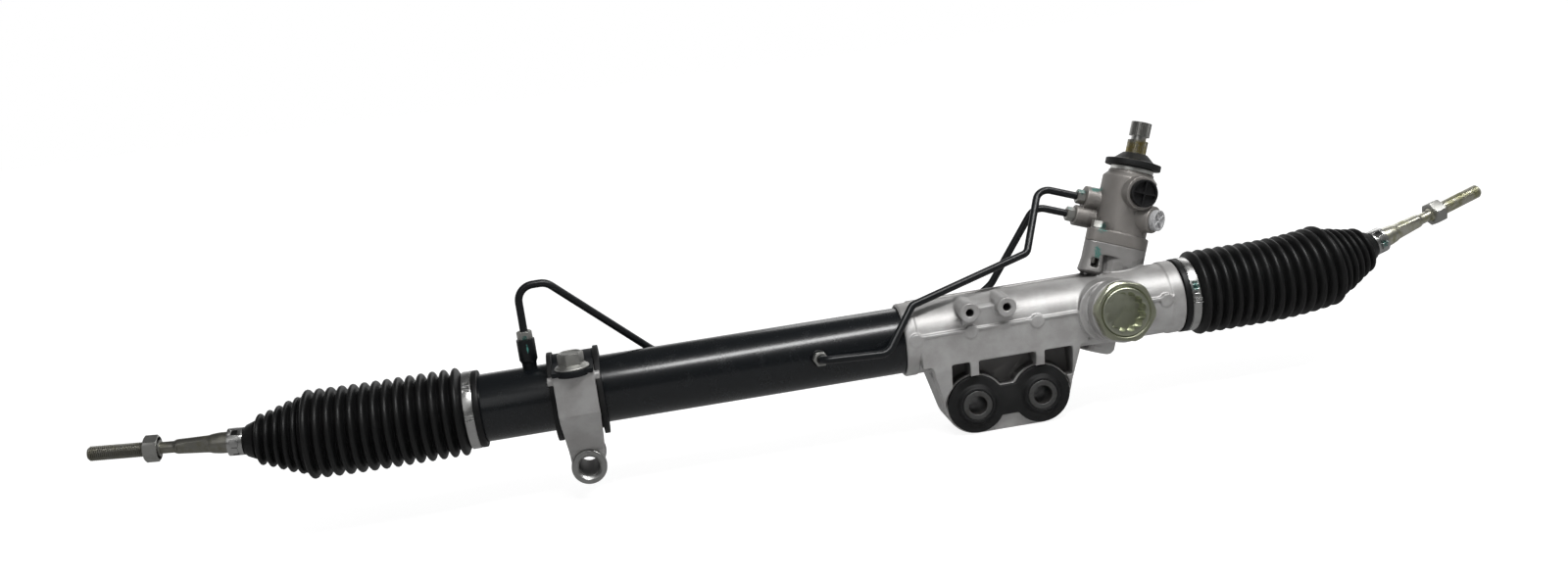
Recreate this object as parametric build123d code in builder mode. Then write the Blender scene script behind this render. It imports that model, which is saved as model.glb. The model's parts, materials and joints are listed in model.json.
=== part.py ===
from build123d import *
import os
from math import acos, atan, cos, degrees, pi, radians, sin, sqrt, tan

# Hydraulic rack and pinion steering gear. X runs along the rack towards the pinion end, Y to the
# rear, Z up. The origin is the centre of the left bush of the double mount.

os.makedirs("parts", exist_ok=True)

# Layout
AXIS_HEIGHT = 60.5
HOUSING_HALF = 312.0
TRAVEL = 75.0
STOP_GAP = 0.5
BALL_OVERHANG = 118.0
ROD_LENGTH = 181.0
PINION_X = 131.5
PINION_SETBACK = 70.9
YOKE_OFFSET = 5.0
INSTALL_ANGLE = 20.0
PINION_LEAN = 7.0
LEFT_ROD_RISE = 4.75
RIGHT_ROD_RISE = 14.1
RIGHT_ROD_BACK = 9.26

# Clearances
RUNNING = 0.05
SLIP = 0.3
SEAT = 0.05

# Power cylinder
TUBE_RADIUS = 28.0
TUBE_WALL = 3.2
TUBE_JOINT = -55.9
TUBE_INSERT = 22.0
RACK_RADIUS = 13.0
PISTON_SETBACK = 174.6
PISTON_WIDTH = 14.0
RING_WIDTH = 3.0
RING_DEPTH = 3.0
SEAL_WIDTH = 9.0
SEAL_WALL = 6.0
END_BUSH_LENGTH = 36.0

# Teeth
MODULE = 2.2
PINION_TEETH = 7
PRESSURE_ANGLE = 25.0
PROFILE_SHIFT = 0.4
PINION_TIP = 10.8
PINION_ROOT = 6.2
PINION_BORE = 12.3
BACKLASH = 0.3
TIP_CLEARANCE = 0.6
GEAR_STEPS = 6
RACK_SPACES = 27
RACK_TIP = 9.6
GEAR_HALF_WIDTH = 15.0

# Rack housing casting
HOUSING_RADIUS = 30.3
COLLAR_RADIUS = 31.3
COLLAR_WIDTH = 11.0
END_RING_RADIUS = 31.2
END_RING_WIDTH = 10.0
RACK_BORE = 15.5
RACK_BUSH_WIDTH = 14.0
WALL_FRONT = 30.3
WALL_LEFT = -44.0
WALL_RIGHT = 100.0
RIDGE_HEIGHT = 7.0
RIDGE_WIDTH = 2.4
RIDGE_PROUD = 1.4
PAD_RADIUS = 5.6
RIDGE_SETBACK = 24.4
RIDGE_PAD_SETBACK = 31.4
TOP_RIDGE_BACK = 5.0
TOP_RIDGE_WIDTH = 3.0
TOP_RIDGE_HEIGHT = 31.8
TOP_RIDGE_STOP = 19.5
SHOULDER_LEFT = -36.0
SHOULDER_RIGHT = 93.0
WEB_HEIGHT = 30.0
POCKET_LEFT = -19.6
POCKET_MARGIN = 2.0
POCKET_TOP = -21.0
POCKET_DEPTH = 8.0
RIB_WIDTH = 7.5
POCKET_CORNER = 12.0
PAD_DROP = 2.0

# Double mount
BUSH_SPACING = 57.1
LOBE_RADIUS = 26.5
LUG_HALF = 19.0
LUG_BORE = 18.0
SLEEVE_BORE = 8.0
SLEEVE_RADIUS = 12.7
SLEEVE_HALF = 26.5
RUBBER_FLANGE = 25.0
RUBBER_THICK = 4.0
RUBBER_WAIST = 13.0
HUB_RADIUS = 17.5
HUB_HEIGHT = 3.6

# Threaded bosses
BOSS_LEFT_X = -1.3
BOSS_SPACING = 31.8
BOSS_HEIGHT = 23.0
BOSS_FRONT = 38.0
BOSS_RADIUS = 8.3
BOSS_HOLE = 3.35
BOSS_DEPTH = 18.0
BLOCK_OVERHANG = 11.0
BOSS_WEB = 3.0

# Pinion and valve tower, stations measured up the pinion axis from the rack
BARREL_RADIUS = 25.5
BULGE_RADIUS = 17.0
BULGE_END = -42.0
PARTING = 52.5
FLANGE_THICK = 10.5
EAR_RADIUS = 9.5
EAR_X = -25.0
EAR_Y = -18.5
EAR_POST = 28.0
LUG_STATION = 34.0
LUG_RADIUS = 11.0
LUG_HEIGHT = 16.0
LUG_HOLE = 6.5
LUG_HOLE_DEPTH = 9.0
BOLT_WASHER = 7.0
VALVE_BOLT_FLATS = 12.0
VALVE_BOLT_HEAD = 7.0
VALVE_BOLT_SHANK = 4.0
VALVE_BOLT_DEPTH = 20.0
VALVE_WASHER_THICK = 1.6
VALVE_RADIUS = 23.5
VALVE_SHOULDER = 116.0
NOSE_RADIUS = 19.5
NOSE_HEIGHT = 2.0
VALVE_BORE = 17.0
NEEDLE_RADIUS = 12.5
NEEDLE_WIDTH = 8.0
SEAL_RADIUS = 15.0
SEAL_LIP_WALL = 1.5
SEAL_LIP_DEPTH = 3.5
TOP_RING_RADIUS = 18.5
TOP_RING_HEIGHT = 4.0
LOWER_BEARING_BASE = -34.0
LOWER_BEARING_WIDTH = 10.0
LOWER_JOURNAL = 6.5
UPPER_BEARING_RADIUS = 17.5
UPPER_BEARING_BASE = 28.0
INNER_RACE_RADIUS = 12.0
OUTER_RACE_RADIUS = 15.0
RACE_GROOVE = 1.0
RACE_CHAMFER = 0.4
UPPER_BEARING_WIDTH = 12.0
STEM_RADIUS = 9.0
SLEEVE_BASE = 55.0
SLEEVE_TOP = 104.0
VALVE_SLEEVE_RADIUS = 16.2
VALVE_RING_WIDTH = 1.6
SHAFT_RADIUS = 10.4
JOURNAL_RADIUS = 9.0
SPLINE_RADIUS = 8.75
SPLINE_ROOT = 8.0
SPLINE_COUNT = 36
SPLINE_BASE = 134.0
SPLINE_CREST = 0.16
SPLINE_FOOT = 0.62
SPLINE_SINK = 0.2
GROOVE_BASE = 146.0
GROOVE_RADIUS = 6.4
GROOVE_WIDTH = 4.0
SHAFT_TOP = 162.0
BAR_RADIUS = 3.2
BAR_HEAD = 4.4
BAR_BASE = 30.0
BAR_TOP = 156.0
BAR_FOOT = 20.0
BAR_GRIP = 32.0
BAR_TAPER = 6.0
PIN_RADIUS = 2.0
LOWER_PIN = 46.0
UPPER_PIN = 128.0
COVER_RADIUS = 24.0
COVER_RIM = 4.7
COVER_CONE = 7.6

# Line ports and transport plugs of the valve
PORT_UPPER = 88.5
PORT_LOWER = 72.0
PORT_OFFSET = 6.0
UPPER_BOSS = 10.5
LOWER_BOSS = 9.0
UPPER_REACH = 35.5
LOWER_REACH = 41.5
PLUG_STATION = 100.0
PLUG_TURN = 6.0
PLUG_BOSS = 14.5
PLUG_REACH = 29.5
PLUG_RADIUS = 11.8
PLUG_RIBS = 8
PLUG_DEPTH = 8.0
RETURN_STATION = 80.0
RETURN_TURN = 38.0
RETURN_BOSS = 10.6
RETURN_REACH = 32.0
RETURN_RADIUS = 8.6
PRESSURE_THREAD = 7.5
RETURN_THREAD = 6.5
THREAD_DEPTH = 9.0
PLUG_HEAD = 5.0

# Yoke
YOKE_BOSS = 26.5
YOKE_FLARE = 7.0
YOKE_FACE = 46.0
YOKE_RADIUS = 18.5
YOKE_INNER = 5.0
YOKE_OUTER = 29.0
PAD_THICK = 1.5
SADDLE_HALF = 30.0
SPRING_POCKET = 6.0
SPRING_WALL = 5.0
DISC_THICK = 1.6
DISC_INNER = 6.5
DISC_OUTER = 13.0
PLUG_THREAD = 20.5
PLUG_INNER = 34.0
PLUG_OUTER = 55.0
SOCKET_RADIUS = 14.8
SCALLOPS = 12
SCALLOP_RADIUS = 2.6
SCALLOP_OUT = 0.6
SOCKET_DEPTH = 15.0
NUT_FLATS = 48.0
NUT_THICK = 8.5
NUT_CORNER = 25.6
NUT_CHAMFER = 2.2
NUT_TURN = 16.0

# Clamp on the tube
CLAMP_SETBACK = 92.0
CLAMP_WIDTH = 33.0
CLAMP_RUBBER = 4.0
CLAMP_FLANGE = 37.0
CLAMP_FLANGE_THICK = 4.5
STRAP_THICK = 3.0
STRAP_PAD = 0.5
STRAP_TOP_REACH = 10.0
STRAP_TAIL = 9.0
STRAP_TAIL_GAP = 0.4
BRACKET_TOP = 28.0
BRACKET_FRONT = 50.0
BOLT_Y = -41.0
BOLT_FLANGE = 14.0
BOLT_FLANGE_EDGE = 1.4
BOLT_FLANGE_HEIGHT = 4.0
BOLT_FLATS = 18.5
BOLT_HEAD = 10.0
BOLT_SHANK = 6.0
BOLT_LENGTH = 30.0
FOOT_DROP = 57.5
FOOT_RADIUS = 13.7
FOOT_HALF = 23.0
FOOT_BORE = 8.5
FOOT_CHAMFER = 2.0
NUB_RADIUS = 3.4
NUB_LENGTH = 4.5

# Pressure lines
LINE_RADIUS = 3.2
LINE_WALL = 0.9
BEND_RADIUS = 13.0
LINE_NUT_FLATS = 11.0
LINE_NUT_LENGTH = 7.0
NUT_SHANK = 4.0
UNION_BORE = 4.6
LEFT_PORT_SETBACK = 56.4
LEFT_PORT_TOP = 52.0
LEFT_PORT_RADIUS = 7.5
FRONT_PORT_SETBACK = 73.7
FRONT_PORT_TILT = 7.0
FRONT_PORT_REACH = 33.0
FRONT_PORT_RADIUS = 6.6
SADDLE_REACH = 20.0
PORT_HOLE = 2.6
LINE_DEPTH = 3.5
HOOK_TOP = 96.0
HOOK_SPAN = 24.2
HOOK_BACK = 1.0
SLOPE_SPAN = 103.2
SLOPE_BACK = 30.0
SLOPE_HEIGHT = 18.0
RUN_START = 130.2
RUN_END = 10.0
RUN_BACK = 37.0
RUN_HEIGHT = 8.0
CLIMB_X = 38.0
CLIMB_BACK = 35.0
CLIMB_HEIGHT = 28.0
LOWER_LEAD = 36.0
UPPER_LEAD = 42.0
FRONT_LEAD = 17.0
FALL_TOP_X = 62.9
FALL_TOP_HEIGHT = 58.0
FALL_FOOT_X = -46.1
FALL_FOOT_FRONT = 24.0
FALL_FOOT_HEIGHT = 34.0
KNEE_X = -74.0
KNEE_FRONT = 41.0
KNEE_HEIGHT = 1.0
SLOPE_BEND = 30.0
RUN_BEND = 25.0
CLIMB_BEND = 20.0
TIGHT_BEND = 8.0

# Boots
BOOT_LIP_RADIUS = 32.0
BOOT_LIP_WIDTH = 5.2
BAND_WIDTH = 7.6
BAND_THICK = 1.0
BOOT_COLLAR = 30.3
BOOT_CREST = 36.5
BOOT_DEPTH = 6.0
BOOT_PITCH = 9.25
BOOT_WAVES = 14
TAPER_CRESTS = (31.4, 29.2, 26.2, 23.3, 21.0)
TAPER_PITCH = 7.7
NECK_RADIUS = 10.4
BOOT_TANGENT = 60.0
BOOT_INNER = 27.5
CLIP_WIDTH = 12.0
CLIP_THICK = 0.8
CLIP_INNER_EDGE = 60.4

# Axial rods, stations measured from the ball centre
SOCKET_OUTER = 16.0
BALL_RADIUS = 11.5
SEAT_WALL = 2.0
SEAT_MOUTH = 5.0
MOUTH_DEEP = 24.0
MOUTH_WIDE = 21.0
MOUTH_NARROW = 7.0
SOCKET_NOSE = 11.5
WASHER_THICK = 2.5
STUD_RADIUS = 8.0
STUD_LENGTH = 20.0
SHANK_RADIUS = 6.6
SHANK_END = 24.0
ROD_START = 40.0
ROD_RADIUS = 8.7
ROD_WAIST = 6.2
FLATS_START = 86.7
FLATS_END = 113.0
FLATS_ACROSS = 11.0
NECK_START = 115.0
ROD_NECK = 4.95
THREAD_RADIUS = 6.0
THREAD_START = 127.0
JAM_START = 126.5
JAM_THICK = 11.0
JAM_FLATS = 19.0
JAM_TURN = 12.0
PITCH_DEPTH = 0.4
NUT_RUNOUT = 0.5

# Frames of the three main lines: the rack, the pinion and the yoke
ALONG = Plane(origin=(0, 0, AXIS_HEIGHT), x_dir=(1, 0, 0), z_dir=(0, -1, 0))
LEAN = radians(PINION_LEAN)
INSTALL = radians(INSTALL_ANGLE)
TOOTH_LINE = Vector(0, sin(LEAN), cos(LEAN))
REARWARD = Vector(0, cos(LEAN), -sin(LEAN))
PINION_UP = Vector(1, 0, 0) * sin(INSTALL) + TOOTH_LINE * cos(INSTALL)
PINION_SIDE = Vector(1, 0, 0) * cos(INSTALL) - TOOTH_LINE * sin(INSTALL)
PITCH_RADIUS = MODULE * PINION_TEETH / (2 * cos(INSTALL))
TOOTH_PITCH = pi * MODULE
CENTRE_DISTANCE = RACK_TIP + PITCH_RADIUS + (PROFILE_SHIFT - 1) * MODULE
PINION_ORIGIN = Vector(PINION_X, 0, AXIS_HEIGHT) + REARWARD * CENTRE_DISTANCE
STEM = Plane(origin=PINION_ORIGIN, x_dir=PINION_UP, z_dir=PINION_SIDE)
YOKE_X = PINION_X - YOKE_OFFSET
YOKE_LINE = Plane(origin=(YOKE_X, 0, AXIS_HEIGHT), x_dir=-REARWARD, z_dir=(1, 0, 0))
HOUSING_RIGHT = PINION_X + PINION_SETBACK
RACK_CENTRE = HOUSING_RIGHT - HOUSING_HALF
HOUSING_LEFT = RACK_CENTRE - HOUSING_HALF
SEAT_START = HOUSING_RIGHT - BAND_WIDTH - BOOT_LIP_WIDTH - 1.0
TUBE_BORE = TUBE_RADIUS - TUBE_WALL
BALL_REACH = HOUSING_HALF + BALL_OVERHANG
BAR_REACH = HOUSING_HALF + TRAVEL + STOP_GAP
STOP_REACH = BAR_REACH + WASHER_THICK
PISTON_X = HOUSING_LEFT + PISTON_SETBACK
CLAMP_X = HOUSING_LEFT + CLAMP_SETBACK
LEFT_PORT_X = HOUSING_LEFT + LEFT_PORT_SETBACK
FRONT_PORT_X = TUBE_JOINT - FRONT_PORT_SETBACK


def across(line, station, turned=0.0):
    """Plane square to a line's own X direction at a station along it."""
    way = line.y_dir.rotate(Axis((0, 0, 0), line.x_dir), turned)
    return Plane(origin=line.origin + line.x_dir * station, x_dir=way, z_dir=line.x_dir)


def turn(line, points, mode=Mode.ADD):
    """Turned solid from an outline of (station, radius) points about a line."""
    with BuildSketch(line) as outline:
        with BuildLine():
            Polyline(*points, close=True)
        make_face()
    revolve(outline.sketch, axis=Axis(line.origin, line.x_dir), mode=mode)


def ring(line, start, end, outer, inner=0.0, mode=Mode.ADD):
    """Ring, or a plain cylinder where the inner radius is left out."""
    turn(line, [(start, inner), (end, inner), (end, outer), (start, outer)], mode)


def prism(line, start, end, flats, mode=Mode.ADD, turned=0.0, sides=6):
    """Hexagonal bar across a line."""
    with BuildSketch(across(line, start, turned)) as hexagon:
        RegularPolygon(flats / 2, sides, major_radius=False)
    extrude(hexagon.sketch, amount=end - start, mode=mode)


def save(body, name):
    """Name a finished piece and write it out."""
    body.part.label = name
    export_step(body.part, f"parts/{name}.step")


def pinion_line(height, turned, offset=0.0):
    """Line that leaves the pinion axis square to it, turned from the front towards +X."""
    front = -REARWARD
    way = front * cos(radians(turned)) + PINION_SIDE * sin(radians(turned))
    start = PINION_ORIGIN + PINION_UP * height + REARWARD * offset
    return Plane(origin=start, x_dir=way, z_dir=PINION_UP)


UPPER_PORT = pinion_line(PORT_UPPER, -90, PORT_OFFSET)
LOWER_PORT = pinion_line(PORT_LOWER, -90, PORT_OFFSET)
PRESSURE_PORT = pinion_line(PLUG_STATION, PLUG_TURN)
RETURN_PORT = pinion_line(RETURN_STATION, RETURN_TURN)
LEFT_PORT = Plane(origin=(LEFT_PORT_X, 0, AXIS_HEIGHT), x_dir=(0, 0, 1), z_dir=(1, 0, 0))
TILT = radians(FRONT_PORT_TILT)
FRONT_PORT = Plane(
    origin=(FRONT_PORT_X, 0, AXIS_HEIGHT),
    x_dir=(0, -cos(TILT), sin(TILT)),
    z_dir=(1, 0, 0),
)


def rod_line(side):
    """Line of an axial rod, from its ball centre outwards."""
    rise = radians(LEFT_ROD_RISE if side < 0 else RIGHT_ROD_RISE)
    back = radians(0 if side < 0 else RIGHT_ROD_BACK)
    way = Vector(side * cos(rise) * cos(back), cos(rise) * sin(back), sin(rise))
    return Plane(
        origin=(RACK_CENTRE + side * BALL_REACH, 0, AXIS_HEIGHT),
        x_dir=way,
        z_dir=Vector(0, 1, 0).cross(way),
    )


def end_line(side):
    """Line along the rack from the middle of its stroke towards one end."""
    return Plane(origin=(RACK_CENTRE, 0, AXIS_HEIGHT), x_dir=(side, 0, 0), z_dir=(0, 0, 1))


# Cylinder tube with its two drilled ports
with BuildPart() as cylinder_tube:
    ring(ALONG, HOUSING_LEFT, TUBE_JOINT + TUBE_INSERT, TUBE_RADIUS, TUBE_BORE)
    ring(LEFT_PORT, TUBE_BORE - 1, TUBE_RADIUS + 1, PORT_HOLE, mode=Mode.SUBTRACT)
    ring(FRONT_PORT, TUBE_BORE - 1, TUBE_RADIUS + 1, PORT_HOLE, mode=Mode.SUBTRACT)
save(cylinder_tube, "cylinder_tube")

# Rack and pinion housing
rib_places = (0.0, BUSH_SPACING)
pocket_right = BUSH_SPACING + LOBE_RADIUS + POCKET_MARGIN
wall_top = AXIS_HEIGHT + RIDGE_HEIGHT
ridge_end = HOUSING_RIGHT - RIDGE_SETBACK
pad_places = (WALL_LEFT - 3, *rib_places, HOUSING_RIGHT - RIDGE_PAD_SETBACK)
top_ridge_start = TUBE_JOINT + END_RING_WIDTH
pocket_top = AXIS_HEIGHT + POCKET_TOP


def ear_places():
    """Centres of the two flange ears in a plane square to the pinion axis."""
    return [(-EAR_Y, EAR_X), (EAR_Y, -EAR_X)]


def tower_plate(start, end, middle):
    """Oval plate around the pinion axis with its two bolt ears."""
    with BuildSketch(across(STEM, start)) as plate:
        Circle(middle)
        with Locations(*ear_places()):
            Circle(EAR_RADIUS)
        make_hull()
    extrude(plate.sketch, amount=end - start)


with BuildPart() as pinion_housing:
    turn(ALONG, [
        (TUBE_JOINT, 0),
        (TUBE_JOINT, END_RING_RADIUS - 1),
        (TUBE_JOINT + 1, END_RING_RADIUS),
        (TUBE_JOINT + END_RING_WIDTH, END_RING_RADIUS),
        (TUBE_JOINT + END_RING_WIDTH + 1, HOUSING_RADIUS),
        (SEAT_START - COLLAR_WIDTH - 1, HOUSING_RADIUS),
        (SEAT_START - COLLAR_WIDTH, COLLAR_RADIUS),
        (SEAT_START - 1, COLLAR_RADIUS),
        (SEAT_START, HOUSING_RADIUS),
        (SEAT_START, TUBE_RADIUS),
        (HOUSING_RIGHT - 1, TUBE_RADIUS),
        (HOUSING_RIGHT, TUBE_RADIUS - 1),
        (HOUSING_RIGHT, 0),
    ])
    # Web that carries the two bush lugs
    with BuildSketch(Plane.XZ) as web:
        with Locations((0, 0), (BUSH_SPACING, 0)):
            Circle(LOBE_RADIUS)
        with Locations(((SHOULDER_LEFT + SHOULDER_RIGHT) / 2, AXIS_HEIGHT - WEB_HEIGHT / 2)):
            Rectangle(SHOULDER_RIGHT - SHOULDER_LEFT, WEB_HEIGHT)
        make_hull()
    extrude(web.sketch, amount=LUG_HALF, both=True)
    # Flat front wall below the parting ridge, drawn in towards the lugs
    with BuildSketch(Plane.XZ) as wall:
        with Locations(((WALL_LEFT + WALL_RIGHT) / 2, (wall_top + pocket_top) / 2)):
            Rectangle(WALL_RIGHT - WALL_LEFT, wall_top - pocket_top)
        with Locations((0, 0), (BUSH_SPACING, 0)):
            Circle(LOBE_RADIUS, mode=Mode.SUBTRACT)
    extrude(wall.sketch, amount=WALL_FRONT)
    with BuildSketch(Plane.XZ.offset(LUG_HALF)) as skirt:
        with BuildLine():
            Polyline(
                (SHOULDER_LEFT, pocket_top),
                (-LOBE_RADIUS, 0),
                (BUSH_SPACING + LOBE_RADIUS, 0),
                (SHOULDER_RIGHT, pocket_top),
                close=True,
            )
        make_face()
        with Locations((0, 0), (BUSH_SPACING, 0)):
            Circle(LOBE_RADIUS, mode=Mode.SUBTRACT)
        with Locations((BUSH_SPACING / 2, 0)):
            Rectangle(BUSH_SPACING, LOBE_RADIUS, mode=Mode.SUBTRACT)
    extrude(skirt.sketch, amount=WALL_FRONT - LUG_HALF)
    with BuildSketch(Plane.YZ.offset(SHOULDER_LEFT - 1)) as draft:
        with BuildLine():
            Polyline(
                (-WALL_FRONT - 1, pocket_top - 4),
                (-WALL_FRONT, pocket_top - 4),
                (-LUG_HALF - 1, 0),
                (-LUG_HALF - 1, -1),
                (-WALL_FRONT - 1, -1),
                close=True,
            )
        make_face()
    extrude(draft.sketch, amount=SHOULDER_RIGHT - SHOULDER_LEFT + 2, mode=Mode.SUBTRACT)
    # Pockets between the ribs, on the front and on the rear
    for face, depth in ((WALL_FRONT, WALL_FRONT - POCKET_DEPTH), (-POCKET_DEPTH, LUG_HALF)):
        with BuildSketch(Plane.XZ.offset(face)) as pockets:
            with Locations(((POCKET_LEFT + pocket_right) / 2, pocket_top / 2)):
                Rectangle(pocket_right - POCKET_LEFT, pocket_top)
            with Locations((0, 0), (BUSH_SPACING, 0)):
                Circle(LOBE_RADIUS, mode=Mode.SUBTRACT)
            with Locations(*[(place, pocket_top / 2) for place in rib_places]):
                Rectangle(RIB_WIDTH, pocket_top, mode=Mode.SUBTRACT)
            with Locations((BUSH_SPACING / 2, 0)):
                Rectangle(BUSH_SPACING, 2 * RUBBER_WAIST, mode=Mode.SUBTRACT)
            with Locations((pocket_right, 0), (POCKET_LEFT, 0)):
                Rectangle(POCKET_CORNER, LOBE_RADIUS, mode=Mode.SUBTRACT)
        extrude(pockets.sketch, amount=-depth, mode=Mode.SUBTRACT)
    # Parting ridge with its ejector pads
    with BuildSketch(Plane.XZ) as ridge:
        with Locations(((WALL_LEFT + ridge_end) / 2, wall_top)):
            Rectangle(ridge_end - WALL_LEFT, RIDGE_WIDTH)
        with Locations(*[(place, wall_top - PAD_DROP) for place in pad_places]):
            Circle(PAD_RADIUS)
    extrude(ridge.sketch, amount=WALL_FRONT + RIDGE_PROUD)
    with BuildSketch(Plane.YZ.offset(top_ridge_start)) as top_ridge:
        with Locations((TOP_RIDGE_BACK, AXIS_HEIGHT + TOP_RIDGE_HEIGHT / 2)):
            Rectangle(TOP_RIDGE_WIDTH, TOP_RIDGE_HEIGHT)
    extrude(top_ridge.sketch, amount=PINION_X - TOP_RIDGE_STOP - top_ridge_start)
    # Threaded bosses on a common block
    with BuildSketch(Plane.XZ) as bosses:
        with Locations(*[(BOSS_LEFT_X + k * BOSS_SPACING, AXIS_HEIGHT + BOSS_HEIGHT) for k in (0, 1)]):
            Circle(BOSS_RADIUS)
    extrude(bosses.sketch, amount=BOSS_FRONT)
    with BuildSketch(Plane.XZ) as block:
        with Locations((BOSS_LEFT_X + BOSS_SPACING / 2, AXIS_HEIGHT + BOSS_HEIGHT / 2)):
            Rectangle(BOSS_SPACING + BLOCK_OVERHANG, BOSS_HEIGHT)
        with Locations((BOSS_LEFT_X + BOSS_SPACING / 2, AXIS_HEIGHT + BOSS_HEIGHT)):
            Rectangle(BOSS_SPACING, BOSS_WEB)
    extrude(block.sketch, amount=WALL_FRONT - 1)
    # Yoke boss, its left flank flared
    ring(YOKE_LINE, 0, YOKE_FACE, YOKE_BOSS)
    with BuildSketch(across(YOKE_LINE, 0)) as flare:
        with Locations((0, 0), (0, -YOKE_FLARE)):
            Circle(YOKE_BOSS)
        make_hull()
    extrude(flare.sketch, amount=WALL_FRONT + 3)
    # Pinion barrel with the lower bearing bulge and the flange ears
    ring(STEM, LOWER_BEARING_BASE + LOWER_BEARING_WIDTH, PARTING, BARREL_RADIUS)
    turn(STEM, [
        (BULGE_END, 0),
        (BULGE_END, BULGE_RADIUS - 5),
        (BULGE_END + 1.5, BULGE_RADIUS - 2),
        (BULGE_END + 5, BULGE_RADIUS),
        (0, BULGE_RADIUS),
        (0, 0),
    ])
    tower_plate(PARTING - FLANGE_THICK, PARTING, BARREL_RADIUS)
    with BuildSketch(across(STEM, PARTING - EAR_POST)) as ear_posts:
        with Locations(*ear_places()):
            Circle(EAR_RADIUS)
    extrude(ear_posts.sketch, amount=EAR_POST - 1)
    with BuildSketch(across(STEM, LUG_STATION - LUG_HEIGHT / 2)) as lug:
        with Locations(ear_places()[0]):
            Circle(LUG_RADIUS)
    extrude(lug.sketch, amount=LUG_HEIGHT, taper=8)
    # Square core hole in the front of the lug under the bolt ear
    lug_face = Plane(
        origin=PINION_ORIGIN + PINION_UP * LUG_STATION + PINION_SIDE * EAR_X + REARWARD * (EAR_Y - LUG_RADIUS),
        x_dir=PINION_SIDE,
        z_dir=REARWARD,
    )
    with BuildSketch(lug_face) as core_hole:
        Rectangle(LUG_HOLE, LUG_HOLE + 1.5)
    extrude(core_hole.sketch, amount=LUG_HOLE_DEPTH, mode=Mode.SUBTRACT)
    # Bores: tube seat, rack, bush seat, yoke, pinion and its bearings
    ring(ALONG, TUBE_JOINT - 1, TUBE_JOINT + TUBE_INSERT, TUBE_RADIUS, mode=Mode.SUBTRACT)
    ring(ALONG, TUBE_JOINT, HOUSING_RIGHT + 1, RACK_BORE, mode=Mode.SUBTRACT)
    ring(YOKE_LINE, 0, YOKE_FACE + 1, YOKE_RADIUS + RUNNING, mode=Mode.SUBTRACT)
    ring(YOKE_LINE, PLUG_INNER - 1, YOKE_FACE + 1, PLUG_THREAD, mode=Mode.SUBTRACT)
    ring(STEM, LOWER_BEARING_BASE - 3, PARTING + 1, PINION_BORE, mode=Mode.SUBTRACT)
    ring(STEM, UPPER_BEARING_BASE, PARTING + 1, UPPER_BEARING_RADIUS, mode=Mode.SUBTRACT)
    # Bush lugs, boss threads and the bolt threads of the valve flange
    with BuildSketch(Plane.XZ.offset(-LUG_HALF - 1)) as lug_bores:
        with Locations((0, 0), (BUSH_SPACING, 0)):
            Circle(LUG_BORE)
    extrude(lug_bores.sketch, amount=2 * LUG_HALF + 2, mode=Mode.SUBTRACT)
    with BuildSketch(Plane.XZ.offset(BOSS_FRONT)) as threads:
        with Locations(*[(BOSS_LEFT_X + k * BOSS_SPACING, AXIS_HEIGHT + BOSS_HEIGHT) for k in (0, 1)]):
            Circle(BOSS_HOLE)
    extrude(threads.sketch, amount=-BOSS_DEPTH, mode=Mode.SUBTRACT)
    with BuildSketch(across(STEM, PARTING)) as bolt_holes:
        with Locations(*ear_places()):
            Circle(VALVE_BOLT_SHANK)
    extrude(bolt_holes.sketch, amount=-VALVE_BOLT_DEPTH, mode=Mode.SUBTRACT)
save(pinion_housing, "pinion_housing")

# Valve housing
with BuildPart() as valve_housing:
    turn(STEM, [
        (PARTING, 0),
        (PARTING, VALVE_RADIUS),
        (VALVE_SHOULDER - 4, VALVE_RADIUS),
        (VALVE_SHOULDER, NOSE_RADIUS),
        (VALVE_SHOULDER + NOSE_HEIGHT, NOSE_RADIUS),
        (VALVE_SHOULDER + NOSE_HEIGHT, 0),
    ])
    tower_plate(PARTING, PARTING + FLANGE_THICK, BARREL_RADIUS)
    ring(UPPER_PORT, 0, UPPER_REACH, UPPER_BOSS)
    ring(LOWER_PORT, 0, LOWER_REACH, LOWER_BOSS)
    ring(PRESSURE_PORT, 0, PLUG_REACH, PLUG_BOSS)
    ring(RETURN_PORT, 0, RETURN_REACH, RETURN_BOSS)
    ring(STEM, PARTING - 1, SLEEVE_TOP + 1, VALVE_BORE, mode=Mode.SUBTRACT)
    ring(STEM, SLEEVE_TOP, SLEEVE_TOP + 1 + NEEDLE_WIDTH, NEEDLE_RADIUS, mode=Mode.SUBTRACT)
    ring(STEM, SLEEVE_TOP + NEEDLE_WIDTH, SHAFT_TOP, SEAL_RADIUS, mode=Mode.SUBTRACT)
    for port, reach, hole in (
        (UPPER_PORT, UPPER_REACH, UNION_BORE),
        (LOWER_PORT, LOWER_REACH, UNION_BORE),
        (PRESSURE_PORT, PLUG_REACH, PRESSURE_THREAD),
        (RETURN_PORT, RETURN_REACH, RETURN_THREAD),
    ):
        ring(port, reach - THREAD_DEPTH, reach + 1, hole, mode=Mode.SUBTRACT)
        ring(port, VALVE_BORE - 3, reach - THREAD_DEPTH + 1, PORT_HOLE, mode=Mode.SUBTRACT)
    with BuildSketch(across(STEM, PARTING - 1)) as clear_holes:
        with Locations(*ear_places()):
            Circle(VALVE_BOLT_SHANK + SLIP)
    extrude(clear_holes.sketch, amount=FLANGE_THICK + 2, mode=Mode.SUBTRACT)
save(valve_housing, "valve_housing")

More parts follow.
